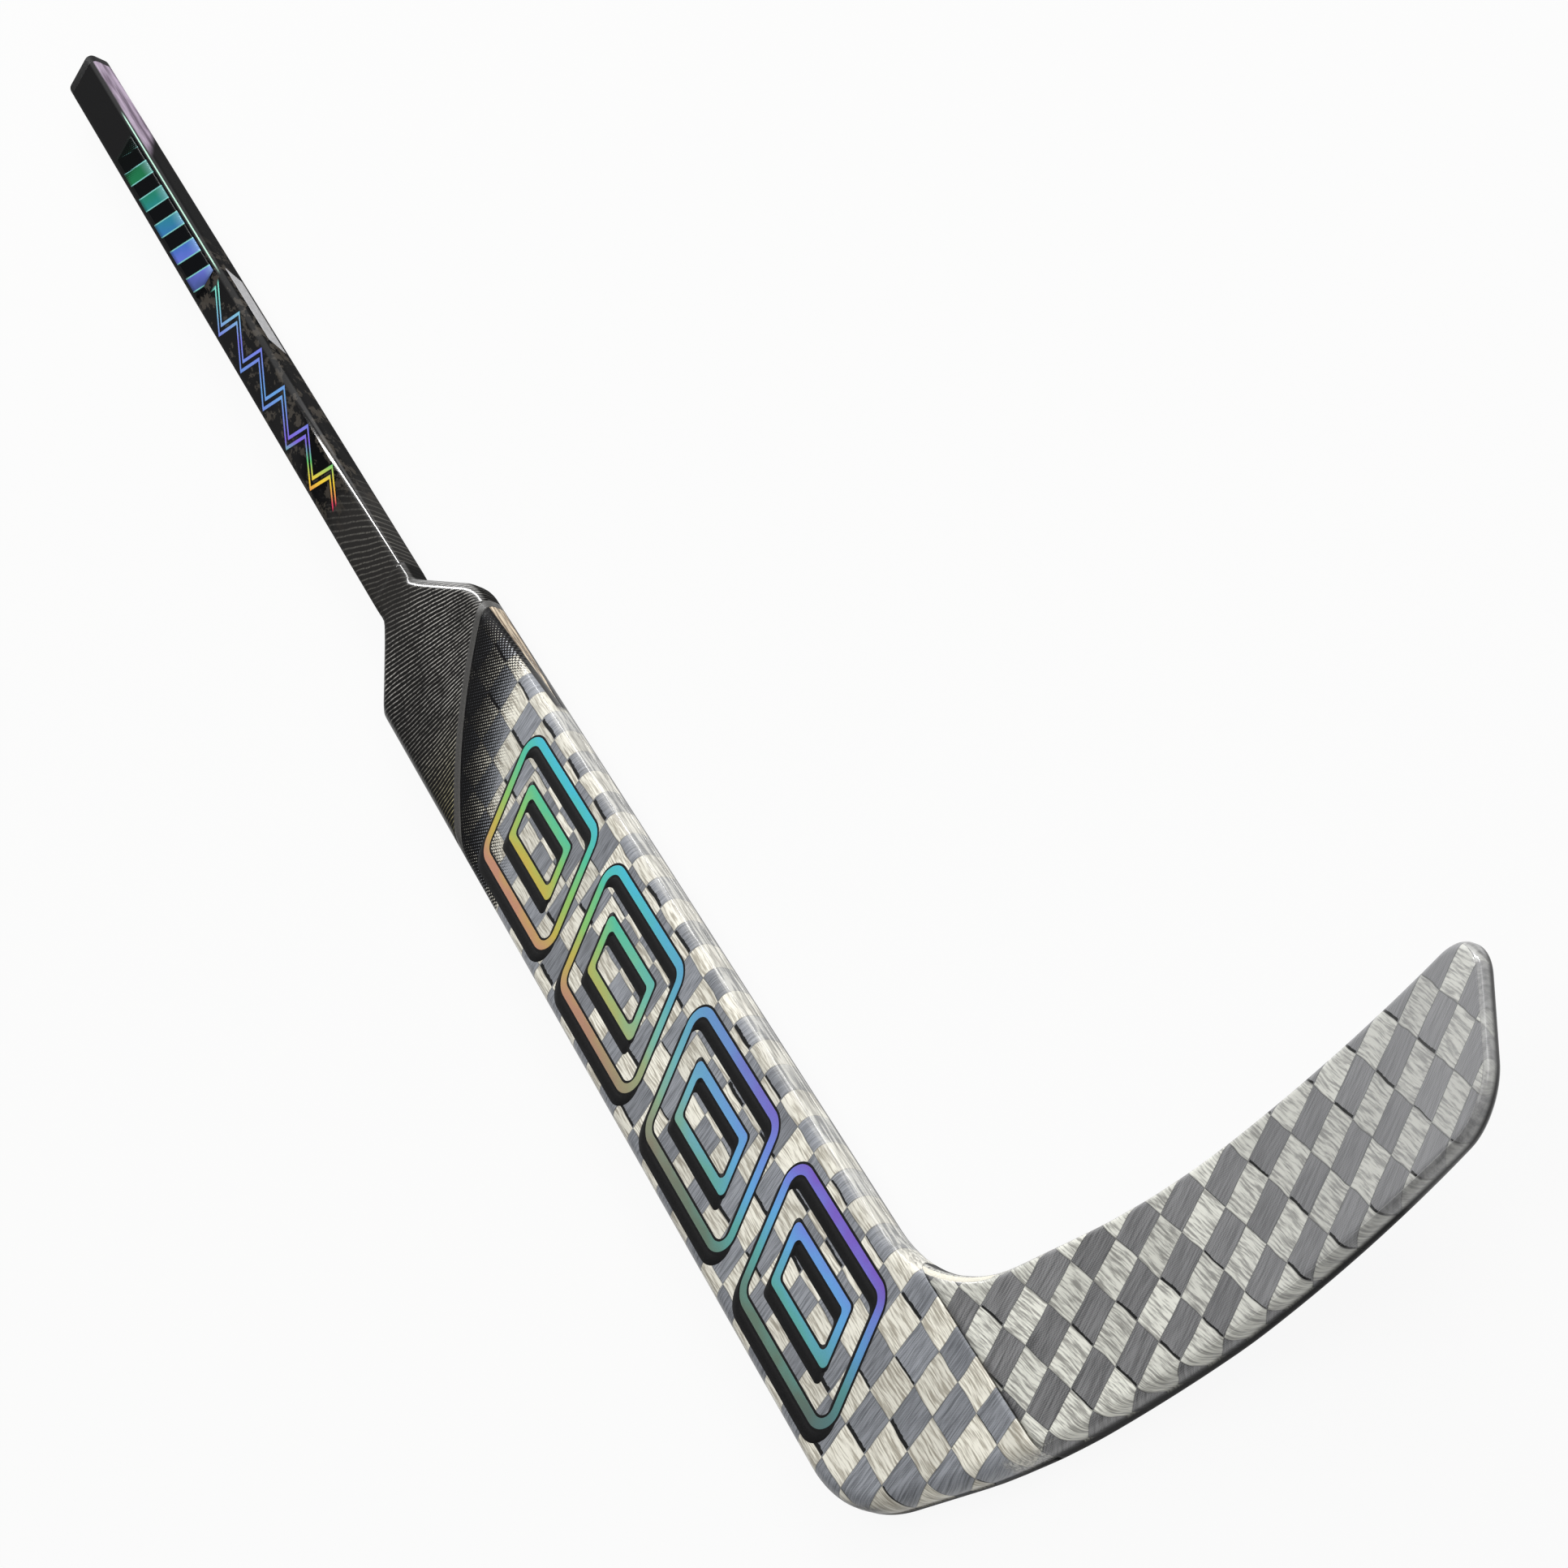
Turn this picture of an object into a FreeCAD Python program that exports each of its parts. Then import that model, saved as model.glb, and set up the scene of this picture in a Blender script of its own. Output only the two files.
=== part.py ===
import FreeCAD, Part
import math
import os

# Goalie stick lying on its back, playing face up. X points to the blade's side, Y up the shaft to the
# butt end, Z out of the playing face. The origin is on the back face, on the shaft's centre line, where
# the shaft meets the shoulders of the paddle. Lengths are in millimetres and angles in degrees.

# Shaft: a hollow tube that steps in to a tenon and goes down into the paddle.
shaft_length = 666.4
shaft_width = 28.4
shaft_thickness = 17.2
shaft_corner_radius = 4.6
shaft_wall = 2.0
tenon_length = 150.0
tube_plug_length = 30.0

# End plug: a head that closes the tube and a stem that slides in its bore.
cap_head_length = 12.0
cap_end_radius = 3.0
cap_stem_length = 38.0
cap_stem_gap = 0.3

# Films on the shaft: a foil on its front and a blank label with slanted ends on its blade side.
film_thickness = 0.2
foil_length = 195.0
foil_end_gap = 109.0
label_length = 92.0
label_height = 7.4
label_slant = 13.0
label_distance = 308.0

# Paddle: a flat plate as thick as the shaft, with rounded edges and sloping shoulders.
paddle_width = 86.4
paddle_edge_radius = 6.8
shoulder_start = 2.3
shoulder_inner_drop = 52.3
shoulder_outer_drop = 45.6
shoulder_neck_radius = 8.4
shoulder_inner_radius = 40.0
shoulder_outer_radius = 11.6
skin_thickness = 1.0
rail_width = 7.0
web_thickness = 3.0

# Shoulder sleeve: it covers a short length of the shaft above the shoulders and ends at an arc across
# the paddle, which a narrow raised strip follows.
sleeve_cover = 14.0
sleeve_arc_radius = 255.7
sleeve_arc_offset = 190.2
sleeve_arc_drop = 282.9
strip_width = 5.0
strip_rise = 0.4

# Outlined bars on the paddle's front: each is an outer ring round an inner ring.
bar_count = 4
bar_first_drop = 226.0
bar_pitch = 108.0
bar_height = 92.0
bar_width = 62.0
bar_slant = 20.0
bar_line = 4.5
bar_ring_gap = 13.0
bar_corner_radius = 11.0

# Blade outline, measured along the sole from where the sole's line crosses the shaft's centre line,
# and up from the sole.
lie_angle = 117.6
sole_drop = 669.8
heel_radius = 58.5
heel_rocker_reach = 29.8
heel_rocker_angle = 7.45
heel_rocker_radius = 240.0
toe_rocker_reach = 160.9
toe_rocker_angle = 2.0
toe_rocker_radius = 468.0
toe_reach = 311.8
toe_overhang = 3.7
toe_lower_radius = 21.0
toe_upper_radius = 22.3
waist_reach = 125.6
waist_height = 69.6
top_rise_angle = 4.45
top_fall_angle = 3.84
top_radius = 625.0
throat_radius = 86.0
seam_offset = 5.0
root_overlap = 12.0

# Blade surface: flat at the heel, then lifted towards the toe and twisted open.
bend_reach = 52.5
bend_middle_height = 36.5
bend_power = 2.05
toe_lift = 46.8
toe_twist = 13.6
blade_toe_thickness = 8.5
edge_band_width = 4.6
plate_stations = 12

# Shares of the blade's thickness: its edge rounding at the toe, the line where its two skins meet, and
# levels well clear of both faces.
edge_round_share = 0.43
skin_line_share = 0.5
clear_front_share = 2.0
clear_back_share = -1.0

# One overrun serves every cut, and one tolerance every test of a place.
overrun = 20.0
tolerance = 0.01

half_shaft = shaft_width / 2
half_paddle = paddle_width / 2
front = shaft_thickness
middle = shaft_thickness / 2
tube_end = shaft_length
cap_end = shaft_length + cap_head_length
seam = half_paddle + seam_offset
inner_shoulder_end = shoulder_start + shoulder_inner_drop
outer_shoulder_end = shoulder_start + shoulder_outer_drop
quarter_turn = math.pi / 2
blade_turn = math.radians(lie_angle) - quarter_turn
far = shaft_length + sole_drop + toe_reach
blade_edge_radius = edge_round_share * blade_toe_thickness


def vector(x, y, z=0.0):
    return FreeCAD.Vector(x, y, z)


def along_blade(reach, height, z=0.0):
    # A point given along the sole and up from it, in the stick's own frame.
    x = reach * math.cos(blade_turn) + height * math.sin(blade_turn)
    y = -sole_drop - reach * math.sin(blade_turn) + height * math.cos(blade_turn)
    return vector(x, y, z)


def back_and_up(angle):
    # The direction back along the sole towards the heel, raised by an angle.
    turn = blade_turn + math.radians(angle)
    return vector(-math.cos(turn), math.sin(turn))


def rounded_loop(corners):
    # A closed wire through (point, radius) corners: straight runs joined by tangent arcs.
    runs = []
    count = len(corners)
    for index, (corner, radius) in enumerate(corners):
        back = (corners[index - 1][0] - corner).normalize()
        ahead = (corners[(index + 1) % count][0] - corner).normalize()
        half_angle = back.getAngle(ahead) / 2
        reach = radius / math.tan(half_angle)
        inward = (back + ahead).normalize()
        nearest = radius / math.sin(half_angle) - radius
        runs.append((corner + back * reach, corner + inward * nearest, corner + ahead * reach, radius))
    edges = []
    for index, (start, mid, end, radius) in enumerate(runs):
        last_end = runs[index - 1][2]
        if last_end.distanceToPoint(start) > tolerance:
            edges.append(Part.LineSegment(last_end, start).toShape())
        if radius > 0:
            edges.append(Part.Arc(start, mid, end).toShape())
    return Part.Wire(edges)


def plate(face, low, high):
    # A flat face carried straight up from one height to another.
    solid = face.extrude(vector(0, 0, high - low))
    solid.translate(vector(0, 0, low))
    return solid


def block(x_low, x_high, y_low, y_high, z_low=-overrun, z_high=far):
    return Part.makeBox(x_high - x_low, y_high - y_low, z_high - z_low, vector(x_low, y_low, z_low))


def bar_along_shaft(width, thickness, radius, start, end):
    # A bar of rounded rectangle section along the shaft, centred in the stick's thickness.
    x = width / 2
    z = thickness / 2
    corners = [vector(-x, start, middle - z), vector(x, start, middle - z)]
    corners += [vector(x, start, middle + z), vector(-x, start, middle + z)]
    loop = rounded_loop([(corner, radius) for corner in corners])
    return Part.Face(loop).extrude(vector(0, end - start, 0))


def meeting(point, direction, x):
    # Where a line through a point crosses a line along the shaft at x.
    share = (x - point.x) / direction.x
    return point + direction * share


def rounded_edges(solid, radius, keep):
    # Rounds the edges that bound the front and back faces, where keep says so.
    chosen = [edge for edge in solid.Edges if keep(edge.BoundBox)]
    return solid.makeFillet(radius, chosen)


def write(shape, name):
    shape.exportStep(os.path.join("parts", name + ".step"))
    print(name, len(shape.Solids), round(shape.Volume / 1000, 2), shape.isValid())


# Outline of the whole stick below the shaft, from the shaft's far edge round the heel, sole and toe.
heel_rocker = along_blade(heel_rocker_reach, 0)
heel_corner = meeting(heel_rocker, back_and_up(heel_rocker_angle), -half_paddle)
toe_low_reach = toe_reach + toe_overhang
toe_low_height = (toe_low_reach - toe_rocker_reach) * math.tan(math.radians(toe_rocker_angle))
toe_high_height = waist_height + (toe_reach - waist_reach) * math.tan(math.radians(top_rise_angle))
far_height = toe_high_height + overrun
waist = along_blade(waist_reach, waist_height)
throat_corner = meeting(waist, back_and_up(top_fall_angle), half_paddle)

outline_corners = [
    (vector(-half_shaft, sleeve_cover + overrun), 0),
    (vector(-half_shaft, -shoulder_start), shoulder_neck_radius),
    (vector(-half_paddle, -outer_shoulder_end), shoulder_outer_radius),
    (heel_corner, heel_radius),
    (heel_rocker, heel_rocker_radius),
    (along_blade(toe_rocker_reach, 0), toe_rocker_radius),
    (along_blade(toe_low_reach, toe_low_height), toe_lower_radius),
    (along_blade(toe_reach, toe_high_height), toe_upper_radius),
    (waist, top_radius),
    (throat_corner, throat_radius),
    (vector(half_paddle, -inner_shoulder_end), shoulder_inner_radius),
    (vector(half_shaft, -shoulder_start), shoulder_neck_radius),
    (vector(half_shaft, sleeve_cover + overrun), 0),
]
outline = Part.Face(rounded_loop(outline_corners))
inner_outline = outline.makeOffset2D(-skin_thickness)
band_outline = outline.makeOffset2D(-edge_band_width)

# Where the inner edge of the paddle stops running straight and turns into the throat.
throat_half_turn = (quarter_turn - blade_turn - math.radians(top_fall_angle)) / 2
heel_line = throat_corner.y + throat_radius * math.tan(throat_half_turn)

paddle_side = block(-far, seam, -far, sleeve_cover)
blade_side = block(seam, far, -far, 0)
front_half = block(-far, far, -far, far, middle, far)
back_half = block(-far, far, -far, far, -far, middle)


def paddle_body(inset):
    # The paddle and heel as one plate with rounded edges, all its faces set in by the same amount.
    face = outline if inset == 0 else inner_outline
    solid = plate(face, inset, front - inset)
    rounded = rounded_edges(solid, paddle_edge_radius - inset, lambda box: box.ZLength < tolerance)
    return rounded.common(paddle_side)


def bend_share(reach):
    return max(0.0, (reach - bend_reach) / (toe_reach - bend_reach))


def face_height(reach, height):
    # Height of the blade's playing face: a power curve of lift, less a twist about the blade's middle.
    share = bend_share(reach)
    lift = toe_lift * share ** bend_power
    slope = math.tan(math.radians(toe_twist)) * share
    return front + lift - slope * (height - bend_middle_height)


def blade_thickness(reach):
    return shaft_thickness + (blade_toe_thickness - shaft_thickness) * bend_share(reach)


def blade_layer(low_share, high_share, inset=0.0):
    # The blade between two shares of its thickness, wider than its outline so that the outline trims it.
    sections = []
    start = -overrun
    end = toe_reach + overrun
    for station in range(plate_stations + 1):
        reach = start + (end - start) * station / plate_stations
        thick = blade_thickness(reach)
        points = []
        for height, share in ((-overrun, low_share), (far_height, low_share),
                              (far_height, high_share), (-overrun, high_share)):
            z = face_height(reach, height) - thick * (1 - share)
            z += inset if share == low_share else -inset
            points.append(along_blade(reach, height, z))
        sections.append(Part.makePolygon(points + points[:1]))
    return Part.makeLoft(sections, True, False)


def blade_body(inset):
    # The blade as one curved plate with rounded edges, all its faces set in by the same amount.
    face = outline if inset == 0 else inner_outline
    root = seam - root_overlap
    solid = blade_layer(0, 1, inset).common(plate(face, -far, far)).common(block(root, far, -far, 0))

    def is_outline(box):
        upright = box.XLength < tolerance and box.YLength < tolerance
        at_root = box.XMax < root + tolerance
        return not upright and not at_root

    rounded = rounded_edges(solid, blade_edge_radius - inset, is_outline)
    return rounded.common(blade_side)


def make_end_plug():
    head = bar_along_shaft(shaft_width, shaft_thickness, shaft_corner_radius, tube_end, cap_end)
    rim = [edge for edge in head.Edges if edge.BoundBox.YMin > cap_end - tolerance]
    head = head.makeFillet(cap_end_radius, rim)
    inset = shaft_wall + cap_stem_gap
    sizes = (shaft_width - 2 * inset, shaft_thickness - 2 * inset, shaft_corner_radius - inset)
    stem = bar_along_shaft(*sizes, tube_end - cap_stem_length, tube_end)
    return head.fuse(stem).removeSplitter()


tenon_width = shaft_width - 2 * skin_thickness
tenon_thickness = shaft_thickness - 2 * skin_thickness
tenon_radius = paddle_edge_radius - skin_thickness


def make_tenon(start, end, inset):
    return bar_along_shaft(tenon_width - 2 * inset, tenon_thickness - 2 * inset, tenon_radius - inset,
                           start, end)


def make_tube():
    # The bore steps in a wall's thickness above the step on the outside, so the wall stays whole there.
    outside = bar_along_shaft(shaft_width, shaft_thickness, shaft_corner_radius, sleeve_cover, tube_end)
    bore_start = sleeve_cover + shaft_wall
    bore = bar_along_shaft(shaft_width - 2 * shaft_wall, shaft_thickness - 2 * shaft_wall,
                           shaft_corner_radius - shaft_wall, bore_start, tube_end)
    tenon = make_tenon(-tenon_length, bore_start, 0)
    tenon_bore = make_tenon(-tenon_length, bore_start, shaft_wall)
    return outside.fuse(tenon).cut(bore).cut(tenon_bore).removeSplitter()


def make_foil():
    half_width = half_shaft - shaft_corner_radius
    end = tube_end - foil_end_gap
    return block(-half_width, half_width, end - foil_length, end, front, front + film_thickness)


def make_label():
    # A parallelogram on the shaft's blade side, its ends slanted.
    half_length = label_length / 2
    half_height = label_height / 2
    half_slant = label_slant / 2
    points = []
    for y, z in ((-1, -1), (1, -1), (1, 1), (-1, 1)):
        place = label_distance + y * half_length + z * half_slant
        points.append(vector(half_shaft, place, middle + z * half_height))
    face = Part.Face(Part.makePolygon(points + points[:1]))
    return face.extrude(vector(film_thickness, 0, 0))


def bar_outline(drop, inset):
    # One slanted bar with rounded corners, set in by an amount all round.
    x = bar_width / 2
    y = bar_height / 2
    lean = bar_slant / 2
    places = ((-x, -drop - y - lean), (x, -drop - y + lean), (x, -drop + y + lean), (-x, -drop + y - lean))
    loop = rounded_loop([(vector(place[0], place[1], front), bar_corner_radius) for place in places])
    face = Part.Face(loop)
    return face if inset == 0 else face.makeOffset2D(-inset)


def make_bars():
    rings = []
    for index in range(bar_count):
        drop = bar_first_drop + bar_pitch * index
        outer_inset = 0
        inner_inset = bar_line + bar_ring_gap
        for inset in (outer_inset, inner_inset):
            ring = bar_outline(drop, inset).cut(bar_outline(drop, inset + bar_line))
            rings.append(ring.extrude(vector(0, 0, film_thickness)))
    return Part.makeCompound([solid for ring in rings for solid in ring.Solids])


def arc_region(radius):
    # Everything inside an arc of this radius about the sleeve's arc centre, and all that lies below it.
    centre = vector(sleeve_arc_offset, -sleeve_arc_drop, -far)
    drum = Part.makeCylinder(radius, 2 * far, centre)
    return drum.fuse(block(-far, far, -far, -sleeve_arc_drop, -far, far))


os.makedirs("parts", exist_ok=True)

write(make_end_plug(), "butt_end_cap")
tube = make_tube()
write(tube, "shaft_tube")
write(make_tenon(-tenon_length, tube_plug_length - tenon_length, shaft_wall), "shaft_end_plug")
write(make_foil(), "shaft_front_foil")
write(make_label(), "shaft_side_label")
write(make_bars(), "paddle_front_decals")

# Outer shells of the paddle: the sleeve above the arc, a strip along it and the woven skins below it.
paddle_outside = paddle_body(0)
paddle_inside = paddle_body(skin_thickness)
shell = paddle_outside.cut(paddle_inside)
strip_half = strip_width / 2
above_strip = arc_region(sleeve_arc_radius + strip_half)
below_strip = arc_region(sleeve_arc_radius - strip_half)
strip_region = above_strip.cut(below_strip)
write(shell.cut(above_strip), "shoulder_sleeve")
flat_face = outline.makeOffset2D(-paddle_edge_radius)
raised = plate(flat_face, front, front + strip_rise).common(strip_region)
strip_shell = shell.common(strip_region)
write(strip_shell.common(front_half).fuse(raised).removeSplitter(), "shoulder_strip_front")
write(strip_shell.common(back_half), "shoulder_strip_back")
skin_shell = shell.common(below_strip)
write(skin_shell.common(front_half), "paddle_front_skin")
write(skin_shell.common(back_half), "paddle_back_skin")

# Inside the paddle: the heel block, two rails, the web under the tenon and foam in what is left.
above_heel = block(-far, far, heel_line, sleeve_cover)
rail_face = half_paddle - skin_thickness - rail_width
heel_block = paddle_inside.cut(above_heel)
outer_rail = paddle_inside.common(block(-far, -rail_face, heel_line, -outer_shoulder_end))
inner_rail = paddle_inside.common(block(rail_face, far, heel_line, -inner_shoulder_end))
half_web = web_thickness / 2
web = paddle_inside.common(block(-half_web, half_web, heel_line, -tenon_length))
tenon_space = make_tenon(-tenon_length, sleeve_cover, 0)
foam = paddle_inside.common(above_heel).cut(outer_rail).cut(inner_rail).cut(web).cut(tenon_space)
write(heel_block, "heel_block")
write(outer_rail, "paddle_outer_rail")
write(inner_rail, "paddle_inner_rail")
write(web, "paddle_web")
write(foam.common(block(-far, 0, -far, sleeve_cover)), "paddle_core_outer")
write(foam.common(block(0, far, -far, sleeve_cover)), "paddle_core_inner")

# Blade: a solid band round the sole and toe, two skins, and foam on either side of a web.
blade_outside = blade_body(0)
blade_inside = blade_body(skin_thickness)
lower_half = [along_blade(-far, -far), along_blade(far, -far), along_blade(far, far)]
lower_half += [along_blade(toe_reach - toe_upper_radius, far)]
lower_half += [along_blade(toe_reach - toe_upper_radius, bend_middle_height)]
lower_half += [along_blade(-far, bend_middle_height)]
sole_side = plate(Part.Face(Part.makePolygon(lower_half + lower_half[:1])), -far, far)
band_space = sole_side.cut(plate(band_outline, -far, far))
write(blade_outside.common(band_space), "blade_edge_band")
blade_shell = blade_outside.cut(blade_inside).cut(band_space)
write(blade_shell.common(blade_layer(skin_line_share, clear_front_share)), "blade_front_skin")
write(blade_shell.common(blade_layer(clear_back_share, skin_line_share)), "blade_back_skin")
blade_filling = blade_inside.cut(band_space)


def blade_strip(low, high):
    corners = [along_blade(-far, low), along_blade(far, low), along_blade(far, high), along_blade(-far, high)]
    return plate(Part.Face(Part.makePolygon(corners + corners[:1])), -far, far)


web_low = bend_middle_height - half_web
web_high = bend_middle_height + half_web
write(blade_filling.common(blade_strip(web_low, web_high)), "blade_web")
write(blade_filling.common(blade_strip(-far, web_low)), "blade_core_lower")
write(blade_filling.common(blade_strip(web_high, far)), "blade_core_upper")
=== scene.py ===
import bmesh
import bpy
import numpy as np
from mathutils import Euler, Matrix


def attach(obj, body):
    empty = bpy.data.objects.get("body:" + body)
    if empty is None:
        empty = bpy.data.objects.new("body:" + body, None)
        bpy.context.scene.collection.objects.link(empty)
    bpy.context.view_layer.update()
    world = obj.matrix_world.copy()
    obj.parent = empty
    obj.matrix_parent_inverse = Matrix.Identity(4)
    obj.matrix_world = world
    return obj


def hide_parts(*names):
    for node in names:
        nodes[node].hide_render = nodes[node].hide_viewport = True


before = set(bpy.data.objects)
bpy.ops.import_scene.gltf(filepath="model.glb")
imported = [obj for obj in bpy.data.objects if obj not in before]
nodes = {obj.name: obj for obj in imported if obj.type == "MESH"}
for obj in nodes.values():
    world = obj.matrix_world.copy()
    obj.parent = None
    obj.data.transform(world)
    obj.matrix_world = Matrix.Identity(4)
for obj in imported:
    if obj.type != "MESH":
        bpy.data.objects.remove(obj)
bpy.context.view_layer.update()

scene = bpy.context.scene
print("frame loaded:", len(nodes), "nodes")

# Sizes of the stick in millimetres and degrees, the same as the solids have. A rocker is its reach along the
# sole, its angle and its radius, and the waist is a reach and a height.
stick = {
    "tubeEnd": 666.4, "capEnd": 678.4, "halfShaft": 14.2, "thickness": 17.2, "shaftCorner": 4.6,
    "wall": 2.0, "tenonLength": 150.0, "skin": 1.0,
    "halfPaddle": 43.2, "paddleEdge": 6.8, "sleeveTop": 14.0,
    "shoulderStart": 2.3, "innerShoulder": 54.6, "outerShoulder": 47.9,
    "neckRadius": 8.4, "innerShoulderRadius": 40.0, "outerShoulderRadius": 11.6,
    "lie": 117.6, "soleDrop": 669.8, "heelRadius": 58.5,
    "heelRocker": (29.8, 7.45, 240.0), "toeRocker": (160.9, 2.0, 468.0),
    "toeReach": 311.8, "toeOverhang": 3.7, "toeLowRadius": 21.0, "toeHighRadius": 22.3,
    "waist": (125.6, 69.6), "topRise": 4.45, "topFall": 3.84, "topRadius": 625.0, "throatRadius": 86.0,
    "seam": 48.2, "bendReach": 52.5, "bendMiddle": 36.5, "bendPower": 2.05,
    "toeLift": 46.8, "toeTwist": 13.6, "toeThickness": 8.5, "bladeEdge": 3.66,
}
front = stick["thickness"]
middle = front / 2
bladeTurn = np.radians(stick["lie"] - 90)
bladeCos, bladeSin = np.cos(bladeTurn), np.sin(bladeTurn)
millimetres = 1000  # in a metre


def alongBlade(reach, height):
    # A point given along the sole and up from it, turned into the stick's frame.
    x = reach * bladeCos + height * bladeSin
    y = -stick["soleDrop"] - reach * bladeSin + height * bladeCos
    return np.stack([x, y], -1)


def bladePlace(xy):
    # The reach along the sole and the height above it of points in the stick's frame.
    x = xy[..., 0]
    y = xy[..., 1] + stick["soleDrop"]
    return x * bladeCos - y * bladeSin, x * bladeSin + y * bladeCos


def crossAt(point, angle, x):
    # Where a line back along the sole, raised by an angle, crosses a line along the shaft at x.
    turn = bladeTurn + np.radians(angle)
    return point + np.array([-np.cos(turn), np.sin(turn)]) * (point[0] - x) / np.cos(turn)


def roundedPath(corners, step=0.07):
    # Straight runs joined by arcs. An arc starts radius / tan(half the corner's angle) before its corner,
    # and its points are centre + first * cos(a) + travel * radius * sin(a), a step of angle apart.
    runs = [np.array([corners[0][0]])]
    for (before, _), (corner, radius), (after, _) in zip(corners, corners[1:], corners[2:]):
        back = (before - corner) / np.linalg.norm(before - corner)
        ahead = (after - corner) / np.linalg.norm(after - corner)
        half = np.arccos(np.clip(back @ ahead, -1, 1)) / 2
        inward = (back + ahead) / np.linalg.norm(back + ahead)
        centre = corner + inward * radius / np.sin(half)
        first = corner + back * radius / np.tan(half) - centre
        sweep = np.pi - 2 * half
        angle = np.linspace(0, sweep, int(sweep / step) + 3)[:, None]
        runs.append(centre + first * np.cos(angle) - back * radius * np.sin(angle))
    runs.append(np.array([corners[-1][0]]))
    return np.concatenate(runs)


def lengthsOf(path):
    # The running length at each point: the sum of the steps before it.
    return np.concatenate([[0], np.cumsum(np.linalg.norm(np.diff(path, axis=0), axis=1))])


def pointsAt(path, length):
    # Points at given lengths, on the straight steps between the path's own points.
    total = lengthsOf(path)
    return np.stack([np.interp(length, total, path[:, 0]), np.interp(length, total, path[:, 1])], -1)


def lengthWhere(path, test, step=0.5):
    # The first length at which a test of the path's points changes sign, by a straight line between steps.
    length = np.arange(0, lengthsOf(path)[-1], step)
    value = test(pointsAt(path, length))
    index = np.nonzero(np.sign(value[1:]) != np.sign(value[:-1]))[0][0]
    return length[index] - value[index] * step / (value[index + 1] - value[index])


def tangentsAt(path, length, reach=0.3):
    # Unit directions from the point just before each length to the point just after it.
    leastRun = 1e-6
    run = pointsAt(path, length + reach) - pointsAt(path, length - reach)
    return run / np.maximum(np.linalg.norm(run, axis=-1, keepdims=True), leastRun)


def inwardAt(path, length, side):
    # Tangents turned a quarter turn, to the left for side 1 and to the right for side -1.
    tangent = tangentsAt(path, length)
    return side * np.stack([-tangent[:, 1], tangent[:, 0]], -1)


def makeSides():
    # The far side runs shoulder, heel, sole and lower toe; the blade side runs shoulder, throat, top and
    # upper toe.
    halfShaft, halfPaddle = stick["halfShaft"], stick["halfPaddle"]
    soleStart, soleAngle, soleRadius = stick["heelRocker"]
    toeStart, toeAngle, toeRadius = stick["toeRocker"]
    waistReach, waistHeight = stick["waist"]
    heelRocker = alongBlade(soleStart, 0.0)
    heel = crossAt(heelRocker, soleAngle, -halfPaddle)
    lowReach = stick["toeReach"] + stick["toeOverhang"]
    lowRise = np.tan(np.radians(toeAngle)) * (lowReach - toeStart)
    highRise = waistHeight + np.tan(np.radians(stick["topRise"])) * (stick["toeReach"] - waistReach)
    toeLow = alongBlade(lowReach, lowRise)
    toeHigh = alongBlade(stick["toeReach"], highRise)
    waist = alongBlade(waistReach, waistHeight)
    throat = crossAt(waist, stick["topFall"], halfPaddle)
    far = [(np.array([-halfShaft, stick["sleeveTop"]]), 0),
           (np.array([-halfShaft, -stick["shoulderStart"]]), stick["neckRadius"]),
           (np.array([-halfPaddle, -stick["outerShoulder"]]), stick["outerShoulderRadius"]),
           (heel, stick["heelRadius"]), (heelRocker, soleRadius), (alongBlade(toeStart, 0.0), toeRadius),
           (toeLow, stick["toeLowRadius"]), (toeHigh, 0)]
    near = [(np.array([halfShaft, stick["sleeveTop"]]), 0),
            (np.array([halfShaft, -stick["shoulderStart"]]), stick["neckRadius"]),
            (np.array([halfPaddle, -stick["innerShoulder"]]), stick["innerShoulderRadius"]),
            (throat, stick["throatRadius"]), (waist, stick["topRadius"]),
            (toeHigh, stick["toeHighRadius"]), (toeLow, 0)]
    return roundedPath(far)[:-1], roundedPath(near)[:-1]


farSide, nearSide = makeSides()
outline = np.concatenate([farSide, nearSide[::-1]])


def edgeDistance(xy, blockSize=4000):
    # The distance from points to the nearest run of the outline, worked out in blocks.
    leastSquare = 1e-9
    start = outline[:-1]
    run = outline[1:] - start
    square = np.maximum((run ** 2).sum(1), leastSquare)
    flat = xy.reshape(-1, 2)
    blocks = []
    for part in np.array_split(flat, max(1, len(flat) // blockSize)):
        gap = part[:, None] - start
        share = np.clip((gap * run).sum(2) / square, 0, 1)
        blocks.append(np.sqrt(((gap - share[..., None] * run) ** 2).sum(2).min(1)))
    return np.concatenate(blocks).reshape(xy.shape[:-1])


def smooth(value, low, high):
    # 0 up to low, 1 from high on, and share^2 * (3 - 2 * share) between them.
    share = np.clip((value - low) / (high - low), 0, 1)
    return share * share * (3 - 2 * share)


# Where the edge rounding eases into the blade's, by reach, and into the shaft's, by Y.
rounding = {"toBlade": (30, 80), "toShaft": (-18, 12)}


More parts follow.
